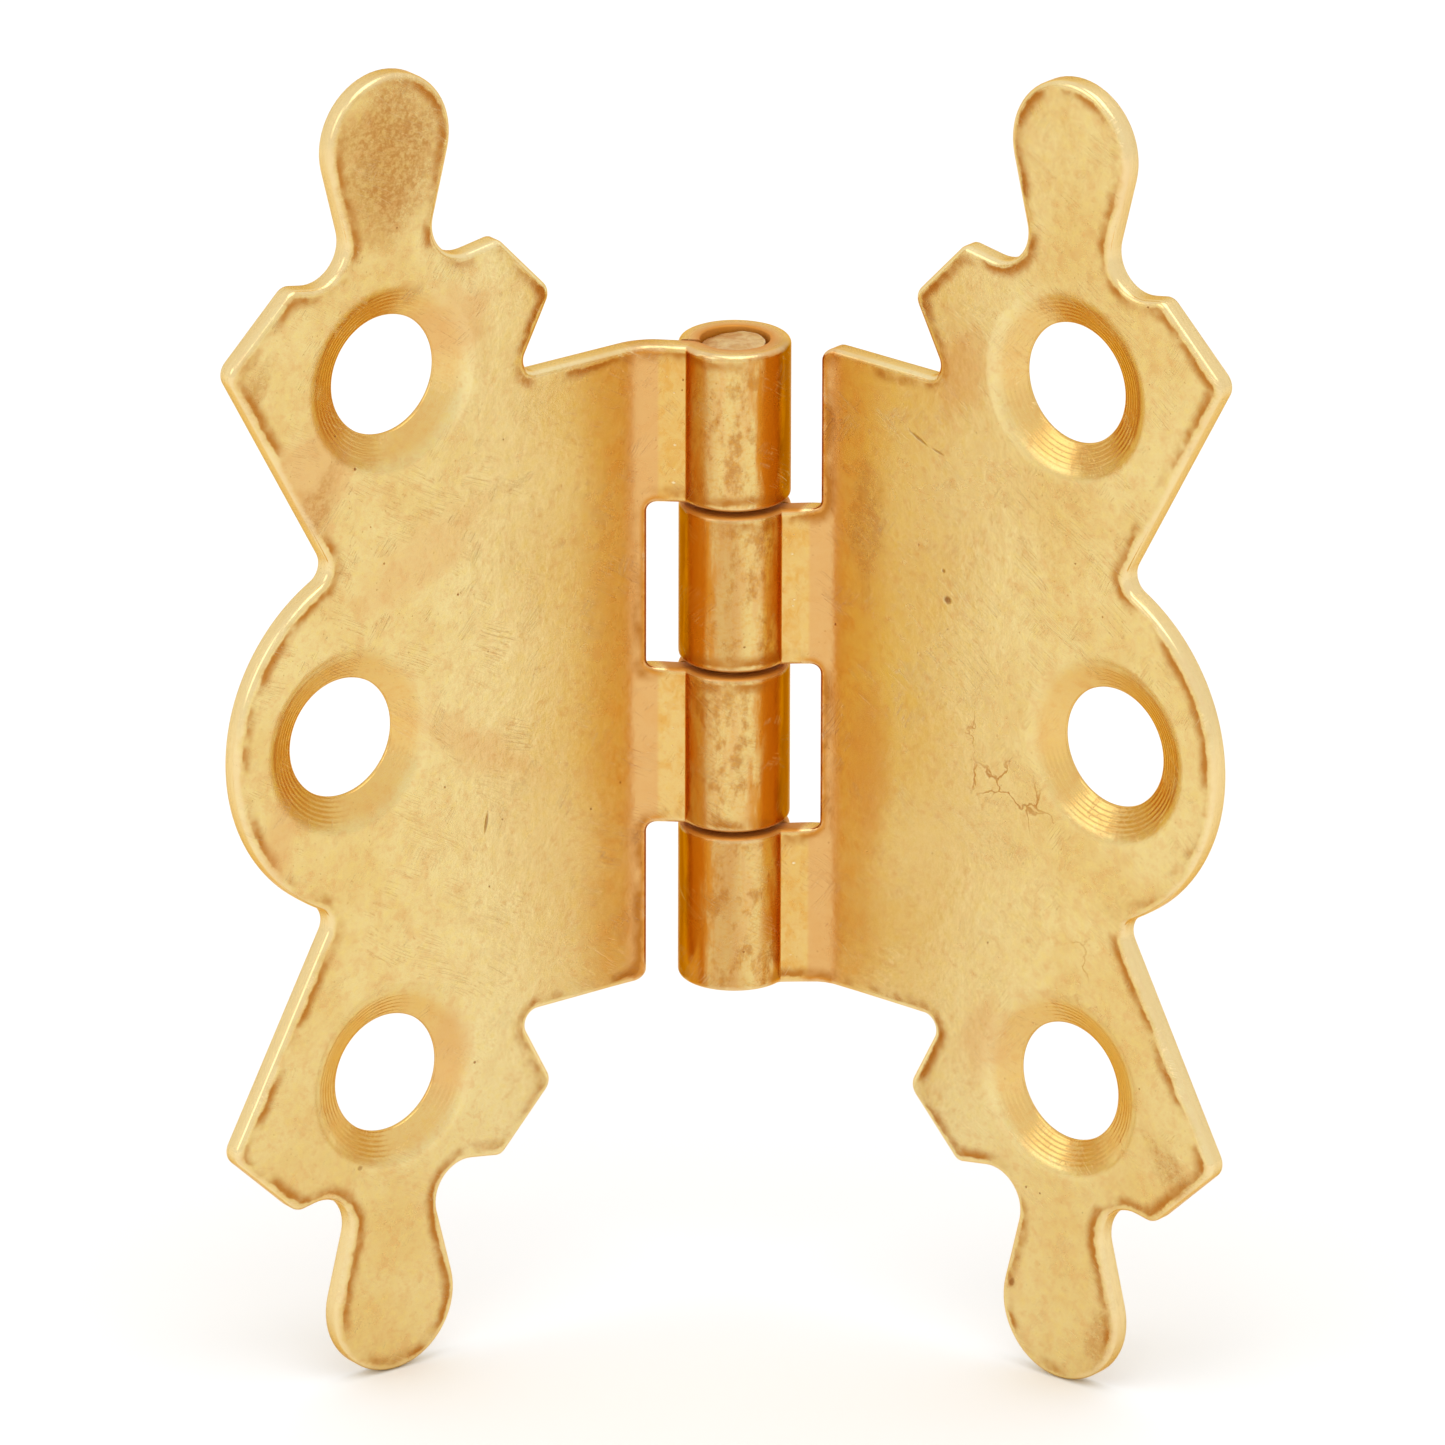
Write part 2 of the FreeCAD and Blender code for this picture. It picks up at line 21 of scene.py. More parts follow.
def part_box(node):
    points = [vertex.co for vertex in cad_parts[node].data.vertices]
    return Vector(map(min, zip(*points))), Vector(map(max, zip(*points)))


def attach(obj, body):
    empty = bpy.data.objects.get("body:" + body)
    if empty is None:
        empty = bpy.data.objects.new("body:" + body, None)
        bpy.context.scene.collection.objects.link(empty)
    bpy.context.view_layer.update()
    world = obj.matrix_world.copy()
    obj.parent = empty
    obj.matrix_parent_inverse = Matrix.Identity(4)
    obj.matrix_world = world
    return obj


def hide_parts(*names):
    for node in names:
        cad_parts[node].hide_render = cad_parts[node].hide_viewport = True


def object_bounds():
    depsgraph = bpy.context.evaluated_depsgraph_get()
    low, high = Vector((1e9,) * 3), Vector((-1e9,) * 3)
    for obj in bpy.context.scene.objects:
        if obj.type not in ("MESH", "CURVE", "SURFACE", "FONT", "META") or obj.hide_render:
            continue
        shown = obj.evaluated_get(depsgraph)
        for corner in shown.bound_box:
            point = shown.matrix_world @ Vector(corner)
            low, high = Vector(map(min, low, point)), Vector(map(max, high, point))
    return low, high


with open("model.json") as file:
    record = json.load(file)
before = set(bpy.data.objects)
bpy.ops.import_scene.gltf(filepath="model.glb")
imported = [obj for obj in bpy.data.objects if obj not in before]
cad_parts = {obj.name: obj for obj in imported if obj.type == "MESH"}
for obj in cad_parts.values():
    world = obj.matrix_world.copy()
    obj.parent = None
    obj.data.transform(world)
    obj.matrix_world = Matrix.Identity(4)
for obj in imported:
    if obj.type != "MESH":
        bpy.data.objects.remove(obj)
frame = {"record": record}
CAD_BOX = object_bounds()

MM = 0.001
FULL_TURN = 2.0 * math.pi
log = logging.getLogger("butterfly_hinge")

Socket = bpy.types.NodeSocket
Sockets = dict[str, Socket]
Outputs = bpy.types.bpy_prop_collection


# ---------------------------------------------------------------------------
# Small geometry helpers
# ---------------------------------------------------------------------------


def steps_of(start: float, end: float, longest: float) -> np.ndarray:
    """Evenly spaced values from start to end.

    Args:
        start: First value.
        end: Last value.
        longest: Largest spacing allowed.

    Returns:
        The values, both ends included.
    """
    count = max(1, math.ceil(abs(end - start) / longest))
    return np.linspace(start, end, count + 1)


def unit_circle(count: int) -> np.ndarray:
    """Evenly spaced points on a circle of radius 1, as one row of x and y per point."""
    angles = np.linspace(0.0, FULL_TURN, count, endpoint=False)
    return np.column_stack((np.cos(angles), np.sin(angles)))


def arc(
    centre: np.ndarray, radius: float, start: float, end: float, step: float = 8.0
) -> np.ndarray:
    """Points along an arc.

    Args:
        centre: Centre of the circle.
        radius: Its radius.
        start: Angle of the first point, in degrees.
        end: Angle of the last point, in degrees.
        step: Largest angle between points, in degrees.

    Returns:
        One row per point.
    """
    angles = np.radians(steps_of(start, end, step))
    return np.asarray(centre) + radius * np.column_stack((np.cos(angles), np.sin(angles)))


def bearing(vector: np.ndarray) -> float:
    """Direction of a plane vector, in degrees."""
    return math.degrees(math.atan2(vector[1], vector[0]))


def nearest_turn(start: float, end: float) -> float:
    """The angle that ends a sweep from start the short way round, in degrees."""
    return start + (end - start + 180.0) % 360.0 - 180.0


def rounded_corner(
    before: np.ndarray, corner: np.ndarray, after: np.ndarray, radius: float
) -> np.ndarray:
    """The arc that rounds off a corner between two straight runs.

    Args:
        before: A point on the run that comes in.
        corner: The sharp corner.
        after: A point on the run that goes out.
        radius: Radius of the rounding.

    Returns:
        Points of the arc, its two touching points included.
    """
    back = (before - corner) / np.linalg.norm(before - corner)
    on = (after - corner) / np.linalg.norm(after - corner)
    half = math.acos(float(np.clip(back @ on, -1.0, 1.0))) / 2.0
    middle = back + on
    centre = corner + middle / np.linalg.norm(middle) * radius / math.sin(half)
    reach = radius / math.tan(half)
    start = bearing(corner + back * reach - centre)
    end = bearing(corner + on * reach - centre)
    return arc(centre, radius, start, nearest_turn(start, end))


def spread(points: np.ndarray, longest: float) -> np.ndarray:
    """Adds points along straight runs.

    Args:
        points: An open run of points.
        longest: Longest gap that may stay.

    Returns:
        The run, with its own points kept.
    """
    pieces = [points[:1]]
    for start, end in zip(points[:-1], points[1:]):
        count = max(1, math.ceil(np.linalg.norm(end - start) / longest))
        share = np.linspace(0.0, 1.0, count + 1)[1:, None]
        pieces.append(start + (end - start) * share)
    return np.vstack(pieces)


def lengths_along(run: np.ndarray) -> np.ndarray:
    """How far along an open run each of its points lies, from 0 at its first."""
    steps = np.linalg.norm(np.diff(run, axis=0), axis=1)
    return np.concatenate(([0.0], np.cumsum(steps)))


def distance_to_run(points: np.ndarray, run: np.ndarray) -> np.ndarray:
    """Shortest distance from each point to an open run of straight pieces.

    Args:
        points: The points that are measured.
        run: The corners of the run, in order.

    Returns:
        One distance per point.
    """
    nearest = np.full(len(points), 1e9)
    for start, end in zip(run[:-1], run[1:]):
        along = end - start
        share = np.clip((points - start) @ along / max(along @ along, 1e-12), 0.0, 1.0)
        gap = np.linalg.norm(points - (start + share[:, None] * along), axis=1)
        nearest = np.minimum(nearest, gap)
    return nearest


def is_inside(points: np.ndarray, loop: np.ndarray) -> np.ndarray:
    """Tells which points lie inside a closed loop.

    Args:
        points: The points that are tested.
        loop: Corners of the loop, without repeating the first.

    Returns:
        True or False per point.
    """
    inside = np.zeros(len(points), bool)
    for start, end in zip(loop, np.roll(loop, -1, axis=0)):
        crosses = (start[1] > points[:, 1]) != (end[1] > points[:, 1])
        if not crosses.any():
            continue
        slope = (end[0] - start[0]) / (end[1] - start[1] + 1e-15)
        cut = start[0] + (points[:, 1] - start[1]) * slope
        inside ^= crosses & (points[:, 0] < cut)
    return inside


def ripple(x: np.ndarray, y: np.ndarray, size: float, seed: float) -> np.ndarray:
    """Slow random waves from 0 to 1 over a plane.

    Args:
        x: First coordinate of each point.
        y: Second coordinate of each point.
        size: Width of a wave, in the same unit.
        seed: Moves the pattern, so that two leaves differ.

    Returns:
        One height per point.
    """
    spots = [Vector((a / size + seed, b / size - seed, seed)) for a, b in zip(x, y)]
    heights = [noise.noise(spot) for spot in spots]
    return np.clip(np.array(heights) * 0.5 + 0.5, 0.0, 1.0)


class Skin:
    """Vertices and faces of one closed surface, with values kept for its finish.

    Points that agree when counted in merge_steps to the millimetre are joined, and edges that
    turn by more than sharp_angle degrees stay sharp.
    """

    merge_steps = 2e4
    sharp_angle = 50.0

    def __init__(self) -> None:
        """Starts with nothing in it."""
        self.places: list[np.ndarray] = []
        self.values: list[np.ndarray] = []
        self.faces: list[list[int]] = []
        self.count = 0

    def add(self, places: np.ndarray, values: np.ndarray) -> np.ndarray:
        """Adds points.

        Args:
            places: Their x, y and z, any grid shape, in millimetres.
            values: Their finish values, on the same grid.

        Returns:
            Their numbers, on the same grid.
        """
        grid = places.shape[:-1]
        amount = int(np.prod(grid))
        self.places.append(places.reshape(amount, 3))
        self.values.append(values.reshape(amount, values.shape[-1]))
        numbers = np.arange(self.count, self.count + amount).reshape(grid)
        self.count += amount
        return numbers

    def quads(self, numbers: np.ndarray, flip: bool = False, closed: bool = False) -> None:
        """Fills a grid of points with faces.

        Args:
            numbers: Point numbers, in rows.
            flip: Turns the faces over.
            closed: Joins the last row to the first.
        """
        rows = np.vstack((numbers, numbers[:1])) if closed else numbers
        for here, there in zip(rows[:-1], rows[1:]):
            for a, b, c, d in zip(here[:-1], here[1:], there[1:], there[:-1]):
                self.faces.append([a, d, c, b] if flip else [a, b, c, d])

    def triangles(self, corners: np.ndarray, flip: bool = False) -> None:
        """Adds triangles, turned over if flip is set."""
        self.faces += (corners[:, ::-1] if flip else corners).tolist()

    def mesh(self, name: str, value_names: dict[str, slice], turn: Matrix) -> bpy.types.Mesh:
        """Joins what coincides and makes the mesh.

        Args:
            name: Name of the mesh.
            value_names: Name of each finish value, and its columns.
            turn: Takes drawing millimetres to model metres.

        Returns:
            The mesh, smooth, with its finish values as point attributes.
        """
        places = np.vstack(self.places)
        values = np.vstack(self.values)
        keys = np.round(places * self.merge_steps).astype(np.int64)
        first, merged = np.unique(keys, axis=0, return_index=True, return_inverse=True)[1:]
        merged = merged.reshape(-1)
        faces = []
        for face in self.faces:
            ring = [int(merged[n]) for n in face]
            ring = [n for i, n in enumerate(ring) if n != ring[i - 1]]
            if len(set(ring)) > 2:
                faces.append(ring)
        mesh = bpy.data.meshes.new(name)
        mesh.from_pydata([turn @ Vector(p) for p in places[first]], [], faces)
        shell = bmesh.new()
        shell.from_mesh(mesh)
        bmesh.ops.recalc_face_normals(shell, faces=shell.faces)
        shell.to_mesh(mesh)
        shell.free()
        for value_name, columns in value_names.items():
            column = values[first][:, columns]
            kind, key = ("FLOAT_VECTOR", "vector") if column.shape[1] == 3 else ("FLOAT", "value")
            attribute = mesh.attributes.new(value_name, kind, "POINT")
            attribute.data.foreach_set(key, column.astype(np.float32).ravel())
        mesh.shade_smooth()
        mesh.set_sharp_from_angle(angle=math.radians(self.sharp_angle))
        mesh.validate()
        return mesh


# ---------------------------------------------------------------------------
# The shape of a leaf
# ---------------------------------------------------------------------------


@dataclass
class Section:
    """The sheet seen along the barrel: plate, bend, strap, crease and roll."""

    sheet: float = 0.8
    barrel_radius: float = 2.1
    plate_front: float = 1.3
    bend_start: float = 3.75
    bend_radius: float = 1.3
    bend_angle: float = 44.0
    join_x: float = 2.75
    crease_centre: tuple[float, float] = (2.214, 0.158)
    crease_radius: float = 0.12
    roll_start: float = 4.07
    roll_end_outside: float = 32.9 - 360.0
    roll_end_inside: float = 25.85 - 360.0
    strap_steps: int = 10
    crease_steps: int = 10
    roll_step: float = 3.0
    out_of_round: float = 0.03

    def front(self, x: np.ndarray) -> np.ndarray:
        """Height y of the front face over the plate, the bend and the start of the strap.

        Args:
            x: Distances from the pin's axis.

        Returns:
            One height for each.
        """
        angle = math.radians(self.bend_angle)
        run_in = self.bend_start - self.bend_radius * math.sin(angle)
        drop = np.clip(self.bend_start - x, 0.0, self.bend_radius * math.sin(angle))
        slope = np.clip(run_in - x, 0.0, None) * math.tan(angle)
        return np.sqrt(self.bend_radius**2 - drop**2) - slope

    def back(self, x: np.ndarray) -> np.ndarray:
        """Height y of the back face over the plate and the bend.

        Args:
            x: Distances from the pin's axis.

        Returns:
            One height for each.
        """
        radius = self.bend_radius + self.sheet
        drop = np.clip(self.bend_start - x, 0.0, radius * math.sin(math.radians(self.bend_angle)))
        return np.sqrt(radius**2 - drop**2)

    def strap(self) -> tuple[np.ndarray, np.ndarray]:
        """The strap, from the plate's join to the crease.

        Returns:
            Its front points and its back points.
        """
        crease = np.array(self.crease_centre)
        angle = math.radians(self.bend_angle)
        normal = np.array([math.sin(angle), -math.cos(angle)])
        front_end = crease - self.crease_radius * normal
        front_start = np.array([self.join_x, float(self.front(np.array(self.join_x)))])
        share = np.linspace(0.0, 1.0, self.strap_steps + 1)[:, None]
        front = front_start + (front_end - front_start) * share
        radius = self.bend_radius + self.sheet
        first = math.degrees(math.asin((self.bend_start - self.join_x) / radius))
        middle = np.array([self.bend_start, 0.0])
        bent = arc(middle, radius, 90.0 + first, 90.0 + self.bend_angle, 4.0)
        back_end = crease - (self.crease_radius + self.sheet) * normal
        run = spread(np.vstack((bent, back_end)), 0.1)
        lengths = lengths_along(run)
        wanted = share[:, 0] * lengths[-1]
        back = np.column_stack([np.interp(wanted, lengths, run[:, i]) for i in (0, 1)])
        return front, back

    def crease(self) -> tuple[np.ndarray, np.ndarray]:
        """The crease between strap and roll.

        Returns:
            Its front points and its back points.
        """
        centre = np.array(self.crease_centre)
        start = 90.0 + self.bend_angle
        turns = np.radians(np.linspace(start, 180.0 + self.roll_start, self.crease_steps + 1))
        away = np.column_stack((np.cos(turns), np.sin(turns)))
        front = centre + self.crease_radius * away
        back = centre + (self.crease_radius + self.sheet) * away
        return front, back

    def roll(self, seed: float) -> tuple[np.ndarray, np.ndarray]:
        """Front and back points of the roll, which is never quite round.

        Args:
            seed: Moves the small flats that the curling die leaves.

        Returns:
            Points on the outside and on the inside of the barrel.
        """
        count = len(steps_of(self.roll_start, self.roll_end_outside, self.roll_step))
        outside = np.radians(np.linspace(self.roll_start, self.roll_end_outside, count))
        inside = np.radians(np.linspace(self.roll_start, self.roll_end_inside, count))
        flats = ripple(np.cos(outside) * 2.0, np.sin(outside) * 2.0, 1.1, seed)
        fade = np.clip(np.linspace(0.0, 8.0, count), 0.0, 1.0)
        radius = self.barrel_radius - self.out_of_round * flats * fade
        front = radius[:, None] * np.column_stack((np.cos(outside), np.sin(outside)))
        bore = self.barrel_radius - self.sheet
        back = bore * np.column_stack((np.cos(inside), np.sin(inside)))
        return front, back

    def stations(self, seed: float) -> tuple[np.ndarray, np.ndarray, np.ndarray]:
        """Everything from the plate's join to the end of the roll.

        Args:
            seed: Passed to the roll.

        Returns:
            Front points, back points, and how far along the sheet each pair lies.
        """
        runs = [self.strap(), self.crease(), self.roll(seed)]
        front = np.vstack([runs[0][0]] + [run[0][1:] for run in runs[1:]])
        back = np.vstack([runs[0][1]] + [run[1][1:] for run in runs[1:]])
        return front, back, self.join_x - lengths_along((front + back) / 2.0)


@dataclass
class Blank:
    """The leaf's outline before rolling, as the blanking die cuts it."""

    root_top: float = 12.6
    root_corner: tuple[float, float, float] = (8.95, 12.6, 0.55)
    inner_low: tuple[float, float, float] = (7.35, 15.65, 0.6)
    inner_high: tuple[float, float, float] = (9.7, 18.1, 0.45)
    neck_half_width: float = 1.44
    neck_rise: float = 17.55
    neck_corner: float = 1.4
    finial_centre: tuple[float, float] = (14.6, 22.8)
    finial_radius: float = 2.7
    outer_high: tuple[float, float, float] = (19.0, 18.1, 0.6)
    outer_low: tuple[float, float, float] = (21.9, 15.35, 0.65)
    lobe_centre: tuple[float, float] = (14.45, 0.0)
    lobe_radius: float = 7.2
    waist_x: float = 17.15
    waist_corner: float = 0.75
    slot_edge: float = 3.1
    slot_corner: float = 0.35
    plate_corner: float = 0.5
    join_x: float = 2.75
    knuckles: tuple[tuple[float, float], ...] = ((0.10, 6.25), (-12.6, -6.45))
    longest_edge: float = 0.3

    def waist(self) -> np.ndarray:
        """The small inside rounding between the lobe and the wing.

        Returns:
            Its points, from the lobe on.
        """
        lobe = np.array(self.lobe_centre)
        rise = math.sqrt(self.lobe_radius**2 - (self.waist_x - lobe[0]) ** 2)
        corner = np.array([self.waist_x, rise])
        line = np.array(self.outer_low[:2]) - corner
        line /= np.linalg.norm(line)
        outward = np.array([line[1], -line[0]])
        start = corner + outward * self.waist_corner - lobe
        reach = self.lobe_radius + self.waist_corner
        along = -(start @ line) + math.sqrt((start @ line) ** 2 - start @ start + reach**2)
        centre = lobe + start + line * along
        first = bearing(lobe - centre)
        last = bearing(-outward)
        return arc(centre, self.waist_corner, first, nearest_turn(first, last))

    def upper_half(self) -> np.ndarray:
        """The outline's upper half.

        Returns:
            Its points, from the waist over the wing and the finial to the root's top corner.
        """
        finial = np.array(self.finial_centre)
        below = self.neck_rise - finial[1]
        necks = [finial + np.array([side * self.neck_half_width, below]) for side in (1, -1)]
        gap = math.hypot(self.neck_half_width, finial[1] - self.neck_rise)
        lean = math.degrees(math.acos(self.finial_radius / gap))
        start = bearing(necks[0] - finial) + lean
        top = arc(finial, self.finial_radius, start, 180.0 - start, 6.0)
        waist = self.waist()
        corners = [
            np.array(self.outer_low),
            np.array(self.outer_high),
            np.array([*necks[0], self.neck_corner]),
            np.array([*top[0], 0.0]),
            np.array([*top[-1], 0.0]),
            np.array([*necks[1], self.neck_corner]),
            np.array(self.inner_high),
            np.array(self.inner_low),
            np.array(self.root_corner),
        ]
        last = np.array([self.slot_edge, self.root_top])
        ends = [waist[-1], *[corner[:2] for corner in corners], last]
        parts = [waist]
        for number, corner in enumerate(corners):
            if corner[2] > 0.0:
                before, after = ends[number], ends[number + 2]
                parts.append(rounded_corner(before, corner[:2], after, corner[2]))
            elif corner[0] > finial[0]:
                parts.append(top)
        return np.vstack(parts)

    def around(self) -> np.ndarray:
        """The free edge round the plate.

        Returns:
            Its points, from the lowest knuckle to the highest one.
        """
        upper = self.upper_half()
        lower = upper[::-1] * (1.0, -1.0)
        lobe = np.array(self.lobe_centre)
        turn = bearing(upper[0] - lobe)
        outer = arc(lobe, self.lobe_radius, -turn, turn, 2.5)
        high = self.knuckles[0][1]
        root = np.array([self.slot_edge, self.root_top])
        below = np.array([self.slot_edge, high])
        corner = rounded_corner(upper[-1], root, below, self.plate_corner)
        foot = arc(np.array([self.join_x, high + self.slot_corner]), self.slot_corner, 0.0, -90.0)
        start = np.array([[self.join_x, self.knuckles[1][0]]])
        whole = np.vstack((start, lower, outer[1:-1], upper, corner, foot))
        return spread(whole, self.longest_edge)

    def inner_slot(self) -> np.ndarray:
        """The free edge of the slot between the two knuckles.

        Returns:
            Its points, from the upper knuckle down.
        """
        high, low = self.knuckles[0][0], self.knuckles[1][1]
        radius = self.slot_corner
        head = arc(np.array([self.join_x, high - radius]), radius, 90.0, 0.0)
        foot = arc(np.array([self.join_x, low + radius]), radius, 0.0, -90.0)
        return spread(np.vstack((head, foot)), self.longest_edge)


@dataclass
class Countersink:
    """A countersunk screw hole, with the rings that the tool leaves on its wall.

    The lip rolls over from the plate into the cone, and the two breaks keep the bore's edges
    from being knife sharp.
    """

    x: float
    z: float
    hole_radius: float = 2.3
    depth: float = 0.6
    sink_radius: float = 3.5
    soft_rim: float = 0.28
    lip_reach: float = 1.6
    lip_drop: float = 0.1512
    lip_steps: int = 8
    foot_break: float = 0.03
    back_break: float = 0.05
    back_rings: tuple[float, float] = (3.0, 2.42)
    ring_depth: float = 0.008
    ring_pitch: float = 0.17
    ring_fade: float = 8.0
    around: int = 112
    down: int = 26

    def outer_radius(self) -> float:
        """Radius at which the plate is flat again."""
        return self.sink_radius + self.soft_rim

    def profile(self) -> np.ndarray:
        """The sink's section, from the flat plate down to the start of the straight bore.

        Returns:
            Radius and depth of each point.
        """
        share = np.linspace(0.0, 1.0, self.lip_steps + 1) * self.lip_reach
        fall = self.lip_drop * self.soft_rim * share**2
        lip = np.column_stack((self.outer_radius() - self.soft_rim * share, fall))
        foot = self.hole_radius + self.foot_break
        radii = np.linspace(lip[-1, 0], foot, self.down)
        wall = np.interp(radii, [foot, lip[-1, 0]], [self.depth, lip[-1, 1]])
        rings = self.ring_depth * np.sin(FULL_TURN * radii / self.ring_pitch)
        low_fade = np.clip((radii - radii[-1]) * self.ring_fade, 0.0, 1.0)
        high_fade = np.clip((radii[0] - radii) * self.ring_fade, 0.0, 1.0)
        wall = wall + rings * low_fade * high_fade
        return np.vstack((lip[:-1], np.column_stack((radii, wall))))


class Hand(Enum):
    """Which side of the pin a leaf is on."""

    LEFT = "left_leaf"
    RIGHT = "right_leaf"


@dataclass
class Leaf:
    """One leaf: its plate with wings and finials, and its two knuckles, all of one sheet.

    Points that fill the plate lie a grid apart, and come no nearer to its edges than the share
    nearest of that. The rim value of a point in a hole is off_edge, which is out of wear's reach.
    """

    hand: Hand
    section: Section = field(default_factory=Section)
    blank: Blank = field(default_factory=Blank)
    sinks: tuple[Countersink, ...] = (
        Countersink(14.6, 13.75),
        Countersink(16.55, 0.0),
        Countersink(14.6, -13.75),
    )
    die_roll: float = 0.22
    back_break: float = 0.07
    grid: float = 0.45
    front_wave: float = 0.05
    wave_size: float = 5.0
    wave_fade: float = 2.0
    front_steps: int = 7
    back_steps: int = 3
    nearest: float = 0.45
    off_edge: float = 3.0
    cut_end_rim: float = 0.02

    @property
    def seed(self) -> float:
        """A number of the leaf's own, which keeps the two leaves' surfaces different."""
        return 3.7 if self.hand is Hand.LEFT else 11.3

    def placing(self) -> Matrix:
        """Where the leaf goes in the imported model.

        Returns:
            What takes drawing millimetres to the leaf's place, in metres.
        """
        scale = Matrix.Scale(MM, 4)
        if self.hand is Hand.LEFT:
            return Matrix.Rotation(math.pi, 4, "Y") @ scale
        mounts = {mount["name"]: mount for mount in frame["record"]["mounts"]}
        away = mounts["right_back"]["axis"]
        return Matrix.Rotation(math.atan2(-away[0], away[1]), 4, "Z") @ scale

    def edge_rings(self) -> tuple[np.ndarray, np.ndarray, np.ndarray, np.ndarray]:
        """How the sheet's edge is rounded.

        Returns:
            Inset and drop of each ring on the front, then inset and drop of each ring on the back.
        """
        turn = np.radians(np.linspace(0.0, 90.0, self.front_steps + 1))
        front_in = self.die_roll * (1.0 - np.cos(turn))
        front_drop = self.die_roll * (1.0 - np.sin(turn))
        turn = np.radians(np.linspace(0.0, 90.0, self.back_steps + 1))
        back_in = np.append(self.back_break * (1.0 - np.cos(turn)), self.die_roll)
        back_drop = np.append(self.back_break * (1.0 - np.sin(turn)), 0.0)
        return front_in, front_drop, back_in, back_drop

    def lay(
        self, flat: np.ndarray, drop: np.ndarray, front: bool, rim: np.ndarray, sink: np.ndarray
    ) -> tuple[np.ndarray, np.ndarray]:
        """Puts points of the flat part on the plate's front or back.

        Args:
            flat: Their x and z.
            drop: How far each lies under the face.
            front: True for the front face.
            rim: Distance of each from the nearest free edge.
            sink: How deep in a countersink each lies, from 0 to 1.

        Returns:
            Their places, and their finish values.
        """
        x, z = flat[..., 0], flat[..., 1]
        sag = ripple(x.ravel(), z.ravel(), self.wave_size, self.seed).reshape(x.shape)
        sag = sag * np.clip((x - self.blank.join_x) / self.wave_fade, 0.0, 1.0) * self.front_wave
        y = self.section.front(x) + drop + sag if front else self.section.back(x) - drop
        places = np.stack((x, y, z), -1)
        side = np.full_like(x, 0.0 if front else 1.0)
        return places, np.stack((x, z, side, rim, sink), -1)

    def inset(self, run: np.ndarray, amounts: np.ndarray) -> np.ndarray:
        """Rings inside a free edge.

        Args:
            run: The edge, with the sheet on its left.
            amounts: How far in each ring lies.

        Returns:
            Points, one row for each point of the edge.
        """
        ahead = np.diff(run, axis=0)
        ahead /= np.linalg.norm(ahead, axis=1)[:, None]
        sides = np.column_stack((-ahead[:, 1], ahead[:, 0]))
        inward = np.vstack(([[0.0, 1.0]], sides[:-1] + sides[1:], [[0.0, -1.0]]))
        inward /= np.linalg.norm(inward, axis=1)[:, None]
        turn = np.concatenate(([1.0], np.sum(inward[1:-1] * sides[1:], axis=1), [1.0]))
        reach = amounts[None, :, None] / turn[:, None, None]
        return run[:, None, :] + inward[:, None, :] * reach

    def knuckle_lines(self, low: float, high: float, amounts: np.ndarray) -> np.ndarray:
        """Heights z of the lines that run round a knuckle, the rounded edges included."""
        middle = steps_of(low + amounts[-1], high - amounts[-1], self.grid)
        return np.concatenate((low + amounts[:-1], middle, high - amounts[:-1][::-1]))

    def add_edges(self, skin: Skin, run: np.ndarray) -> np.ndarray:
        """Rounds off one free edge of the plate, front and back, and closes the wall between.

        Args:
            skin: What the faces go into.
            run: The edge.

        Returns:
            The innermost ring's points.
        """
        front_in, front_drop, back_in, back_drop = self.edge_rings()
        outer = []
        faces = ((True, front_in, front_drop), (False, back_in, back_drop))
        for is_front, amounts, drops in faces:
            rings = self.inset(run, amounts)
            drop = np.broadcast_to(drops, rings.shape[:2])
            rim = np.broadcast_to(amounts, rings.shape[:2])
            numbers = skin.add(*self.lay(rings, drop, is_front, rim, np.zeros_like(rim)))
            skin.quads(numbers, flip=not is_front)
            outer.append(numbers[:, 0])
        skin.quads(np.stack(outer, -1), flip=True)
        return self.inset(run, front_in[-1:])[:, 0]

    def add_field(self, skin: Skin, loop: np.ndarray, free_runs: list[np.ndarray]) -> None:
        """Fills the plate between its edges and its holes, front and back.

        Args:
            skin: What the faces go into.
            loop: The closed line that the rounded edges end on.
            free_runs: The free edges, from which wear is measured.
        """
        circle = unit_circle(self.sinks[0].around)
        rings = [np.array([s.x, s.z]) + circle * s.outer_radius() for s in self.sinks]
        lowest, highest = loop.min(axis=0), loop.max(axis=0)
        nearest = self.grid * self.nearest
        x, z = np.meshgrid(*[np.arange(a, b, self.grid) for a, b in zip(lowest, highest)])
        x = x + (np.arange(len(x)) % 2)[:, None] * self.grid / 2.0
        inner = np.column_stack((x.ravel(), z.ravel()))
        closed = np.vstack((loop, loop[:1]))
        keep = is_inside(inner, loop) & (distance_to_run(inner, closed) > nearest)
        for sink in self.sinks:
            away = np.linalg.norm(inner - (sink.x, sink.z), axis=1)
            keep &= away > sink.outer_radius() + nearest
        points = [loop, *rings, inner[keep]]
        edges, first = [], 0
        for ring in points[:-1]:
            count = len(ring)
            edges += [(first + a, first + (a + 1) % count) for a in range(count)]
            first += count
        flat = np.vstack(points)
        result = delaunay_2d_cdt([Vector(p) for p in flat], edges, [], 0, 1e-7)
        given = np.array([origins[0] for origins in result[3]])
        flat = flat[given]
        triangles = np.array(result[2])
        centres = flat[triangles].mean(axis=1)
        wanted = is_inside(centres, loop)
        for ring in rings:
            wanted &= ~is_inside(centres, ring)
        rim = np.min([distance_to_run(flat, run) for run in free_runs], axis=0)
        nothing = np.zeros(len(flat))
        for is_front in (True, False):
            numbers = skin.add(*self.lay(flat, nothing, is_front, rim, nothing))
            skin.triangles(numbers[triangles[wanted]], flip=is_front)
            if not is_front:
                self.add_back_holes(skin, circle)

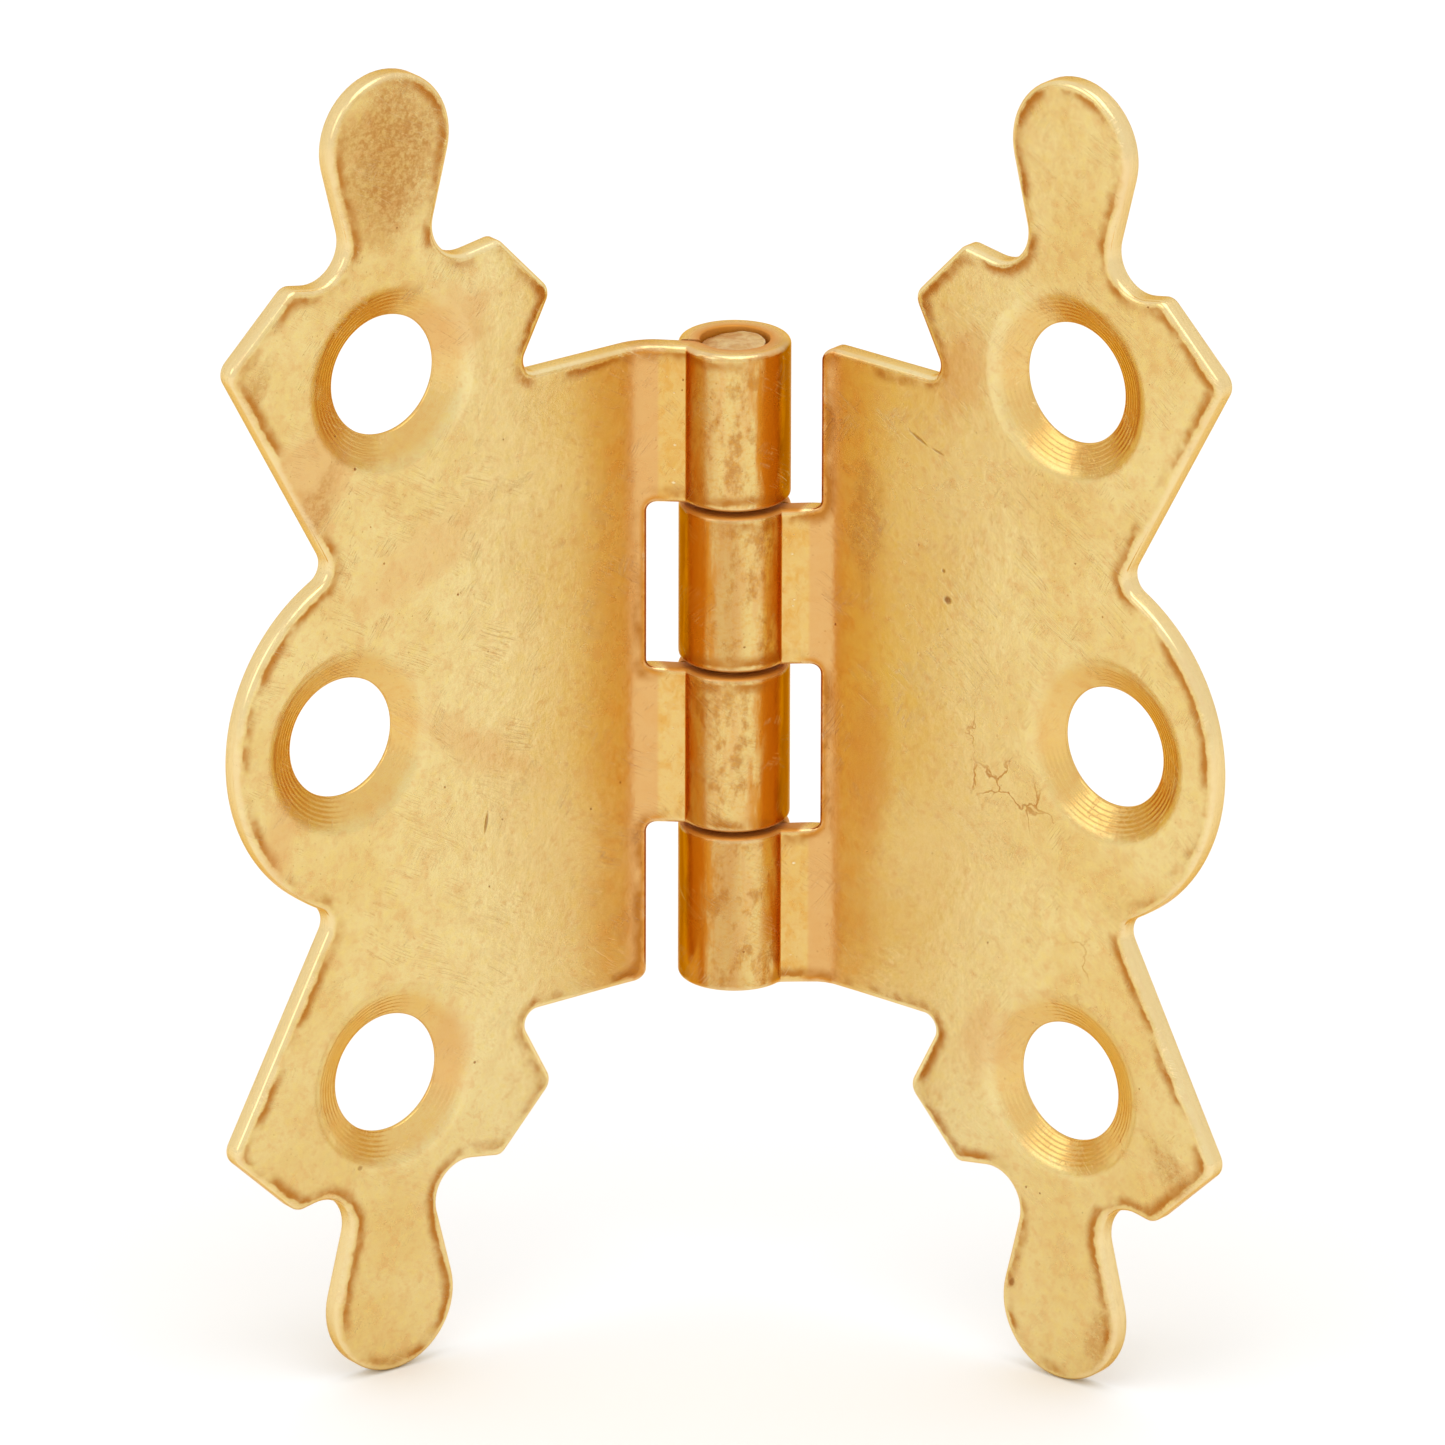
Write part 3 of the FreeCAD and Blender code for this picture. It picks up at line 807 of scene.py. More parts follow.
    def add_back_holes(self, skin: Skin, circle: np.ndarray) -> None:
        """Fills the back face between the circles over the countersinks and the holes.

        Args:
            skin: What the faces go into.
            circle: Unit circle, with as many points as a countersink has.
        """
        for sink in self.sinks:
            last = sink.hole_radius + sink.back_break
            radii = np.array([sink.outer_radius(), *sink.back_rings, last])
            flat = np.array([sink.x, sink.z]) + circle[:, None, :] * radii[None, :, None]
            nothing = np.zeros(flat.shape[:2])
            numbers = skin.add(*self.lay(flat, nothing, False, nothing + self.off_edge, nothing))
            skin.quads(numbers, closed=True, flip=False)

    def add_sinks(self, skin: Skin) -> None:
        """Countersinks on the front and the straight bores behind them.

        Args:
            skin: What the faces go into.
        """
        for sink in self.sinks:
            circle = unit_circle(sink.around)
            bore_top = [sink.hole_radius, sink.depth + sink.foot_break]
            bore_foot = [sink.hole_radius, self.section.sheet - sink.back_break]
            whole = np.vstack((sink.profile(), bore_top, bore_foot))
            flat = np.array([sink.x, sink.z]) + circle[:, None, :] * whole[None, :, :1]
            drop = np.broadcast_to(whole[:, 1], flat.shape[:2])
            deep = np.clip(drop / sink.depth, 0.0, 1.0)
            far = np.full_like(drop, self.off_edge)
            places, values = self.lay(flat, drop, True, far, deep)
            base = self.section.plate_front + drop
            places[..., 1] = places[..., 1] * (1.0 - deep) + base * deep
            numbers = skin.add(places, values)
            back_ring = np.array([sink.x, sink.z]) + circle * (sink.hole_radius + sink.back_break)
            nothing = np.zeros(len(back_ring))
            far = nothing + self.off_edge
            last = skin.add(*self.lay(back_ring, nothing, False, far, nothing + 1.0))
            skin.quads(np.column_stack((numbers, last)), closed=True, flip=True)

    def add_knuckle(self, skin: Skin, low: float, high: float) -> None:
        """Strap and roll of one knuckle.

        Args:
            skin: What the faces go into.
            low: Height z of its lower edge.
            high: Height z of its upper edge.
        """
        front_in, front_drop, back_in, back_drop = self.edge_rings()
        front, back, along = self.section.stations(self.seed)
        through = (back - front) / np.linalg.norm(back - front, axis=1)[:, None]
        sides = {}
        faces = ((True, front_in, front_drop), (False, back_in, back_drop))
        for is_front, amounts, drops in faces:
            lines = self.knuckle_lines(low, high, amounts)
            inner = len(lines) - 2 * (len(amounts) - 1)
            drop = np.concatenate((drops[:-1], np.zeros(inner), drops[:-1][::-1]))
            start, way = (front, through) if is_front else (back, -through)
            plane = start[:, None, :] + way[:, None, :] * drop[None, :, None]
            z = np.broadcast_to(lines, plane.shape[:2])
            places = np.stack((plane[..., 0], plane[..., 1], z), -1)
            rim = np.minimum(z - low, high - z)
            rim = np.minimum(rim, (along - along[-1])[:, None] + self.cut_end_rim)
            flat_x = np.broadcast_to(along[:, None], z.shape)
            side = np.full_like(rim, 0.0 if is_front else 1.0)
            values = np.stack((flat_x, z, side, rim, np.zeros_like(rim)), -1)
            numbers = skin.add(places, values)
            skin.quads(numbers, flip=not is_front)
            sides[is_front] = numbers
        skin.quads(np.stack((sides[True][:, 0], sides[False][:, 0]), -1), flip=True)
        skin.quads(np.stack((sides[True][:, -1], sides[False][:, -1]), -1))
        self.close_roll(skin, sides[True][-1], sides[False][-1])

    def close_roll(self, skin: Skin, outside: np.ndarray, inside: np.ndarray) -> None:
        """Closes the cut end of the roll, whose two lines have different numbers of points.

        Args:
            skin: What the faces go into.
            outside: Point numbers along the outer line.
            inside: Point numbers along the inner line.
        """
        skin.faces.append([int(n) for n in outside] + [int(n) for n in inside[::-1]])

    def build(self) -> bpy.types.Object:
        """Builds the leaf's mesh and its object.

        Returns:
            The object, riding on its body in place of the plain node.
        """
        skin = Skin()
        runs = [self.blank.around(), self.blank.inner_slot()]
        inner = [self.add_edges(skin, run) for run in runs]
        reach = self.die_roll
        joins = []
        for low, high in self.blank.knuckles:
            lines = steps_of(low + reach, high - reach, self.grid)[1:-1][::-1]
            joins.append(np.column_stack((np.full(len(lines), self.blank.join_x), lines)))
            self.add_knuckle(skin, low, high)
        loop = np.vstack((inner[0], joins[0], inner[1], joins[1]))
        self.add_field(skin, loop, runs)
        self.add_sinks(skin)
        columns = {"flat": slice(0, 3), "rim": slice(3, 4), "sink": slice(4, 5)}
        mesh = skin.mesh(f"{self.hand.value}_sheet", columns, self.placing())
        piece = bpy.data.objects.new(f"{self.hand.value}_plated", mesh)
        bpy.context.scene.collection.objects.link(piece)
        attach(piece, self.hand.value)
        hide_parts(self.hand.value)
        return piece


@dataclass
class Pin:
    """The wire that both leaves are rolled round, with sheared ends.

    At both ends it is squeezed in by up to pinch, most of all towards gap_middle degrees, where
    the leaves' rolls leave a gap.
    """

    chamfer: float = 0.05
    around: int = 96
    rings: int = 18
    dome: float = 0.03
    innermost: float = 0.06
    shear: float = 0.096
    shear_start: float = 0.25
    tear_size: float = 0.5
    tear_depth: float = 0.09
    gap_middle: float = 22.0
    gap_squeeze: float = 0.8
    pinch: float = 0.13
    pinch_depth: float = 0.5
    pinch_steps: int = 4
    row_gap: float = 1.0

    def end(self, radius: float, seed: float) -> np.ndarray:
        """How far each point of a sheared end lies inside the wire's full length.

        Args:
            radius: Radius of the wire.
            seed: Makes the two ends differ.

        Returns:
            Depths, one row per angle and one column per ring from the rim to near the middle.
        """
        share = np.linspace(1.0, self.innermost, self.rings)
        x, y = np.moveaxis(unit_circle(self.around)[:, None, :] * share[:, None] * radius, -1, 0)
        rough = ripple(x.ravel(), y.ravel(), self.tear_size, seed).reshape(x.shape)
        across = (x * math.cos(seed) + y * math.sin(seed)) / radius
        lean = np.clip(across + self.shear_start, 0.0, None) ** 1.5
        return self.dome * share[None, :] ** 2 + self.shear * lean + rough * self.tear_depth

    def build(self) -> bpy.types.Object:
        """Builds the pin's mesh and its object.

        Returns:
            The object, riding on the left leaf in place of the plain node.
        """
        low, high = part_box("hinge_pin")
        radius = (high.x - low.x) / 2.0 / MM
        circle = unit_circle(self.around)
        share = np.linspace(1.0, self.innermost, self.rings) * (radius - self.chamfer) / radius
        angles = np.linspace(0.0, 360.0, self.around, endpoint=False)
        from_gap = (angles - self.gap_middle + 180.0) % 360.0 - 180.0
        off = np.radians(np.clip(from_gap * self.gap_squeeze, -90.0, 90.0))
        pinched = self.pinch * np.cos(off)
        skin = Skin()
        columns = []
        for top, level, seed in ((True, high.z / MM, 2.1), (False, low.z / MM, 5.3)):
            way = 1.0 if top else -1.0
            depth = self.end(radius, seed)
            narrow = (1.0 - pinched / radius)[:, None, None]
            flat = circle[:, None, :] * share[None, :, None] * radius * narrow
            places = np.stack((flat[..., 0], flat[..., 1], level - way * depth), -1)
            reach = np.broadcast_to(share, depth.shape)
            across = (flat[..., 0], flat[..., 1], np.full_like(reach, way))
            values = np.stack((*across, 1.0 - reach), -1)
            numbers = skin.add(places, values)
            skin.quads(numbers, closed=True, flip=top)
            skin.faces.append([int(n) for n in (numbers[:, -1] if top else numbers[::-1, -1])])
            columns.append((numbers[:, 0], level - way * (depth[:, 0].max() + self.chamfer)))
        high_end, low_end = columns[0][1], columns[1][1]
        near = np.linspace(0.0, self.pinch_depth, self.pinch_steps + 1)
        gap = self.row_gap
        between = steps_of(high_end - gap, low_end + gap, gap)
        rows = np.concatenate((high_end - near, between, low_end + near[::-1]))
        pieces = []
        for z in rows:
            fade = np.clip(1.0 - min(high_end - z, z - low_end) / self.pinch_depth, 0.0, 1.0)
            ring = circle * (radius - pinched * fade)[:, None]
            pieces.append(np.column_stack((ring, np.full(self.around, z))))
        places = np.stack(pieces, axis=1)
        nothing = np.zeros(places.shape[:2])
        values = np.stack((places[..., 0], places[..., 1], nothing, nothing), -1)
        side = skin.add(places, values)
        whole = np.column_stack((columns[0][0], side, columns[1][0]))
        skin.quads(whole, closed=True)
        turn = Matrix.Scale(MM, 4)
        mesh = skin.mesh("pin_wire", {"flat": slice(0, 3), "rim": slice(3, 4)}, turn)
        piece = bpy.data.objects.new("pin_wire", mesh)
        bpy.context.scene.collection.objects.link(piece)
        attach(piece, "left_leaf")
        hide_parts("hinge_pin")
        return piece


# ---------------------------------------------------------------------------
# Finishes
# ---------------------------------------------------------------------------

Band = tuple[float, float]
Colour = tuple[float, float, float, float]


class Wiring:
    """Adds and joins the nodes of one shader tree."""

    def __init__(self, tree: bpy.types.NodeTree) -> None:
        """Keeps the tree that nodes are added to."""
        self.tree = tree

    def add(self, kind: str, inputs: dict | None = None, **settings: object) -> bpy.types.Node:
        """Adds a node.

        Args:
            kind: The node's type, without the ShaderNode prefix.
            inputs: Socket name or number, with a value or another node's output.
            settings: The node's own settings.

        Returns:
            The node.
        """
        node = self.tree.nodes.new("ShaderNode" + kind)
        for name, value in settings.items():
            setattr(node, name, value)
        self.feed(node, inputs or {})
        return node

    def feed(self, node: bpy.types.Node, inputs: dict) -> None:
        """Sets a node's inputs, or joins them to what feeds them.

        Args:
            node: The node.
            inputs: Socket name or number, with a value or another node's output.
        """
        for name, value in inputs.items():
            if isinstance(value, Socket):
                self.tree.links.new(value, node.inputs[name])
            else:
                node.inputs[name].default_value = value

    def maths(self, operation: str, *values: object, clamp: bool = False) -> Socket:
        """The result of a Math node."""
        settings = {"operation": operation, "use_clamp": clamp}
        return self.add("Math", dict(enumerate(values)), **settings).outputs[0]

    def times(self, *values: object) -> Socket:
        """Two or more values multiplied together.

        Args:
            values: Numbers or sockets, the first of them a socket.

        Returns:
            Their product.
        """
        product = values[0]
        for value in values[1:]:
            product = self.maths("MULTIPLY", product, value)
        return product

    def centred(self, value: object) -> Socket:
        """A value from 0 to 1, moved to lie evenly about 0."""
        return self.maths("SUBTRACT", value, 0.5)

    def plus(self, start: object, value: object, share: object) -> Socket:
        """A start with a share of a value added to it."""
        return self.maths("MULTIPLY_ADD", value, share, start)

    def span(
        self, value: object, low: object, high: object, start: float = 0.0, end: float = 1.0
    ) -> Socket:
        """A smooth step.

        Args:
            value: What is stepped.
            low: The value where the step begins.
            high: The value where it ends, which may be the lower of the two.
            start: Result before the step.
            end: Result after it.

        Returns:
            The result.
        """
        inputs = {"Value": value, "From Min": low, "From Max": high, "To Min": start, "To Max": end}
        return self.add("MapRange", inputs, interpolation_type="SMOOTHSTEP").outputs[0]

    def noise(
        self, place: object, scale: object, detail: float = 3.0, roughness: float = 0.5
    ) -> Socket:
        """Cloudy noise from 0 to 1.

        Args:
            place: Where it is read.
            scale: Clouds to a unit of length.
            detail: Number of finer layers.
            roughness: How strong the finer layers are.

        Returns:
            The noise.
        """
        inputs = {"Vector": place, "Scale": scale, "Detail": detail, "Roughness": roughness}
        return self.add("TexNoise", inputs).outputs["Fac"]

    def drift(self, place: object, scale: object, detail: float) -> Socket:
        """Three noises at once, as a vector that bends other patterns."""
        inputs = {"Vector": place, "Scale": scale, "Detail": detail}
        return self.add("TexNoise", inputs).outputs["Color"]

    def vectors(self, operation: str, *values: object) -> Socket:
        """The result of a Vector Math node."""
        return self.add("VectorMath", dict(enumerate(values)), operation=operation).outputs[0]

    def blend(self, share: object, first: object, second: object) -> Socket:
        """A blend of two colours.

        Args:
            share: How much of the second colour shows.
            first: The first colour.
            second: The second colour.

        Returns:
            The blend.
        """
        inputs = {0: share, 6: first, 7: second}
        return self.add("Mix", inputs, data_type="RGBA").outputs[2]

    def tinted(self, colour: object, over: object, mask: object, share: float) -> Socket:
        """A colour with another laid over it.

        Args:
            colour: The colour so far.
            over: The colour that is laid over it.
            mask: Where it is laid.
            share: How much of it shows where the mask is full.

        Returns:
            The new colour.
        """
        return self.blend(self.times(mask, share), colour, over)

    def moved(
        self, place: object, shift: object, scale: object, turn: object = (0.0, 0.0, 0.0)
    ) -> Socket:
        """A place after a Mapping node.

        Args:
            place: The place.
            shift: How far it is moved.
            scale: How it is stretched along each axis.
            turn: How it is turned about each axis, in radians.

        Returns:
            The new place.
        """
        inputs = {"Vector": place, "Location": shift, "Rotation": turn, "Scale": scale}
        return self.add("Mapping", inputs).outputs[0]

    def value(self, name: str, kind: str = "Fac") -> Socket:
        """One of the mesh's own finish values."""
        return self.add("Attribute", attribute_name=name).outputs[kind]


class Effect:
    """A shader node group: one effect of age or making, built once, placed in each finish."""

    title = "effect"
    takes: dict[str, object] = {}
    gives: tuple[str, ...] = ()

    def draw(self, wires: Wiring, given: Sockets) -> Sockets:
        """Adds the group's nodes.

        Args:
            wires: Where they go.
            given: The group's inputs by name.

        Returns:
            What each of the group's outputs is fed from.
        """
        raise NotImplementedError

    def group(self) -> bpy.types.NodeTree:
        """The effect's node group.

        Returns:
            The group, made the first time that it is asked for.
        """
        if self.title in bpy.data.node_groups:
            return bpy.data.node_groups[self.title]
        tree = bpy.data.node_groups.new(self.title, "ShaderNodeTree")
        for name, default in self.takes.items():
            kind = "NodeSocketVector" if isinstance(default, tuple) else "NodeSocketFloat"
            socket = tree.interface.new_socket(name, in_out="INPUT", socket_type=kind)
            socket.default_value = default
        for name in self.gives:
            tree.interface.new_socket(name, in_out="OUTPUT", socket_type="NodeSocketFloat")
        wires = Wiring(tree)
        entry = tree.nodes.new("NodeGroupInput")
        way_out = tree.nodes.new("NodeGroupOutput")
        wires.feed(way_out, self.draw(wires, {name: entry.outputs[name] for name in self.takes}))
        return tree

    def place(self, wires: Wiring, **inputs: object) -> Outputs:
        """Places the effect in a finish.

        Args:
            wires: Where the finish's nodes go.
            inputs: The finish's own values, by the names of the group's inputs.

        Returns:
            The placed group's outputs.
        """
        node = wires.tree.nodes.new("ShaderNodeGroup")
        node.node_tree = self.group()
        wires.feed(node, {name.capitalize(): value for name, value in inputs.items()})
        return node.outputs


class Mottling(Effect):
    """Cloudy unevenness of thin plating, coarse and fine."""

    title = "plating_mottle"
    takes = {"Place": (0.0, 0.0, 0.0), "Scale": 1.0, "Low": 0.4, "High": 0.65}
    gives = ("Clouds", "Grain")

    def draw(self, wires: Wiring, given: Sockets) -> Sockets:
        """Mixes broad clouds with a fine grain.

        Args:
            wires: Where the nodes go.
            given: The group's inputs by name.

        Returns:
            The clouds and the grain.
        """
        place, scale = given["Place"], given["Scale"]
        shifted = wires.vectors("ADD", place, wires.drift(place, scale, 2.0))
        broad = wires.noise(shifted, scale, 5.0, 0.62)
        clouds = wires.span(broad, given["Low"], given["High"])
        grain = wires.noise(place, wires.times(scale, 22.0), 3.0, 0.7)
        return {"Clouds": clouds, "Grain": grain}


class Pits(Effect):
    """Small dark pits and specks, scattered in patches."""

    title = "fine_pits"
    takes = {"Place": (0.0, 0.0, 0.0), "Scale": 2.0, "Size": 0.16, "Share": 0.35}
    gives = ("Pits",)

    def draw(self, wires: Wiring, given: Sockets) -> Sockets:
        """Keeps the middles of some random cells.

        Args:
            wires: Where the nodes go.
            given: The group's inputs by name.

        Returns:
            The mask of the pits.
        """
        cells = wires.add("TexVoronoi", {"Vector": given["Place"], "Scale": given["Scale"]})
        chance = wires.add("SeparateColor", {0: cells.outputs["Color"]}).outputs
        chosen = wires.maths("LESS_THAN", chance[0], given["Share"])
        radius = wires.times(wires.maths("MULTIPLY_ADD", chance[1], 0.75, 0.25), given["Size"])
        ratio = wires.maths("DIVIDE", cells.outputs["Distance"], radius)
        return {"Pits": wires.times(wires.span(ratio, 1.0, 0.45), chosen)}


class Scratches(Effect):
    """Hairline scratches along one direction, broken up into short runs."""

    title = "hairline_scratches"
    takes = {"Place": (0.0, 0.0, 0.0), "Angle": (0.0, 0.0, 0.0), "Scale": 1.0, "Share": 0.5}
    gives = ("Lines",)

    def draw(self, wires: Wiring, given: Sockets) -> Sockets:
        """Stretches noise into lines, and keeps its crests where a second noise allows.

        Args:
            wires: Where the nodes go.
            given: The group's inputs by name.

        Returns:
            The mask of the lines.
        """
        place, scale = given["Place"], given["Scale"]
        turned = wires.moved(place, (0.0, 0.0, 0.0), (1.0, 1.0, 1.0), given["Angle"])
        bent = wires.vectors("ADD", turned, wires.drift(turned, 0.25, 1.0))
        long = wires.moved(bent, (0.0, 0.0, 0.0), (0.22, 9.0, 1.0))
        crest = wires.noise(long, scale, 2.0, 0.5)
        thin = wires.span(wires.maths("ABSOLUTE", wires.centred(crest)), 0.012, 0.0)
        patch = wires.noise(place, wires.times(scale, 0.55), 2.0, 0.5)
        kept = wires.maths("GREATER_THAN", given["Share"], patch)
        return {"Lines": wires.times(thin, kept)}


class Streaks(Effect):
    """Fine lines drawn out along the barrel by the rolling tool."""

    title = "drawn_streaks"
    takes = {"Place": (0.0, 0.0, 0.0), "Fine": 9.0, "Long": 0.35}
    gives = ("Streaks", "Blotches")

    def draw(self, wires: Wiring, given: Sockets) -> Sockets:
        """Stretches one noise along the second axis, and keeps another nearly round.

        Args:
            wires: Where the nodes go.
            given: The group's inputs by name.

        Returns:
            The streaks and the blotches.
        """
        stretch = wires.add("CombineXYZ", {0: given["Fine"], 1: given["Long"], 2: 1.0}).outputs[0]
        drawn = wires.vectors("MULTIPLY", given["Place"], stretch)
        streaks = wires.span(wires.noise(drawn, 0.8, 4.0, 0.6), 0.36, 0.66)
        half = wires.vectors("MULTIPLY", given["Place"], (1.6, 0.8, 1.0))
        blotches = wires.span(wires.noise(half, 1.1, 5.0, 0.7), 0.46, 0.64)
        return {"Streaks": streaks, "Blotches": blotches}


class EdgeWearAndPaintedLight(Effect):
    """A line along an edge, partly rubbed wear and partly a painted highlight, and a painted dark
    reflection band inside it.
    """

    title = "edge_wear_and_painted_light"
    takes = {"Rim": 1.0, "Place": (0.0, 0.0, 0.0), "Reach": 0.3}
    gives = ("RubbedHighlight", "Band")

    def draw(self, wires: Wiring, given: Sockets) -> Sockets:
        """Uses the distance to the nearest cut edge, made uneven with noise.

        Args:
            wires: Where the nodes go.
            given: The group's inputs by name.

        Returns:
            The line of rubbed wear and painted highlight, and the painted shade band.
        """
        uneven = wires.noise(given["Place"], 1.1, 4.0, 0.65)
        ratio = wires.maths("DIVIDE", given["Rim"], given["Reach"])
        pushed = wires.plus(ratio, wires.centred(uneven), 1.6)
        # rubbed wear, and a painted highlight, on the rounded edge itself
        rubbed = wires.span(pushed, 0.9, 0.15)
        # painted shade: a dark reflection band just inside the rounded edge, made patchy
        rise = wires.span(pushed, 0.75, 1.15)
        fall = wires.span(pushed, 3.0, 1.3)
        patchy = wires.span(wires.noise(given["Place"], 0.45, 3.0, 0.6), 0.37, 0.6)
        return {"RubbedHighlight": rubbed, "Band": wires.times(rise, fall, patchy)}


class Stain(Effect):
    """A soft-edged mark at one spot."""

    title = "single_mark"
    takes = {
        "Place": (0.0, 0.0, 0.0),
        "Centre": (0.0, 0.0, 0.0),
        "Turn": (0.0, 0.0, 0.0),
        "Size": (1.0, 1.0, 1.0),
        "Ragged": 0.5,
    }
    gives = ("Mark",)

    def draw(self, wires: Wiring, given: Sockets) -> Sockets:
        """Measures from the centre in the mark's own turned and stretched frame.

        Args:
            wires: Where the nodes go.
            given: The group's inputs by name.

        Returns:
            The mask of the mark.
        """
        settings = {
            "Vector": given["Place"],
            "Location": given["Centre"],
            "Rotation": given["Turn"],
            "Scale": given["Size"],
        }
        own = wires.add("Mapping", settings, vector_type="TEXTURE").outputs[0]
        away = wires.add("VectorMath", {0: own}, operation="LENGTH").outputs["Value"]
        rough = wires.noise(own, 1.6, 4.0, 0.65)
        pushed = wires.plus(away, wires.centred(rough), given["Ragged"])
        return {"Mark": wires.span(pushed, 1.0, 0.35)}


class Cracks(Effect):
    """Wandering cracks in the plating, like dry varnish."""

    title = "wandering_cracks"
    takes = {"Place": (0.0, 0.0, 0.0), "Scale": 1.0, "Width": 0.03}
    gives = ("Cracks",)

    def draw(self, wires: Wiring, given: Sockets) -> Sockets:
        """Follows the borders of warped cells.

        Args:
            wires: Where the nodes go.
            given: The group's inputs by name.

        Returns:
            The mask of the cracks.
        """
        warp = wires.drift(given["Place"], 1.6, 4.0)
        bent = wires.vectors("MULTIPLY_ADD", warp, (1.1, 1.1, 0.0), given["Place"])
        settings = {"Vector": bent, "Scale": given["Scale"]}
        cells = wires.add("TexVoronoi", settings, feature="DISTANCE_TO_EDGE")
        ratio = wires.maths("DIVIDE", cells.outputs["Distance"], given["Width"])
        return {"Cracks": wires.span(ratio, 1.0, 0.3)}


@dataclass(frozen=True)
class Mark:
    """One mark of use or making, at a place on the leaf's own face."""

    x: float
    z: float
    long: float
    wide: float
    turn: float = 0.0
    ragged: float = 0.6
    strength: float = 1.0


def start_finish(name: str) -> tuple[bpy.types.Material, Wiring, bpy.types.Node]:
    """Starts a material.

    Args:
        name: Its name.

    Returns:
        The material, the wiring of its nodes, and its shader.
    """
    material = bpy.data.materials.new(name)
    material.use_nodes = True
    return material, Wiring(material.node_tree), material.node_tree.nodes["Principled BSDF"]


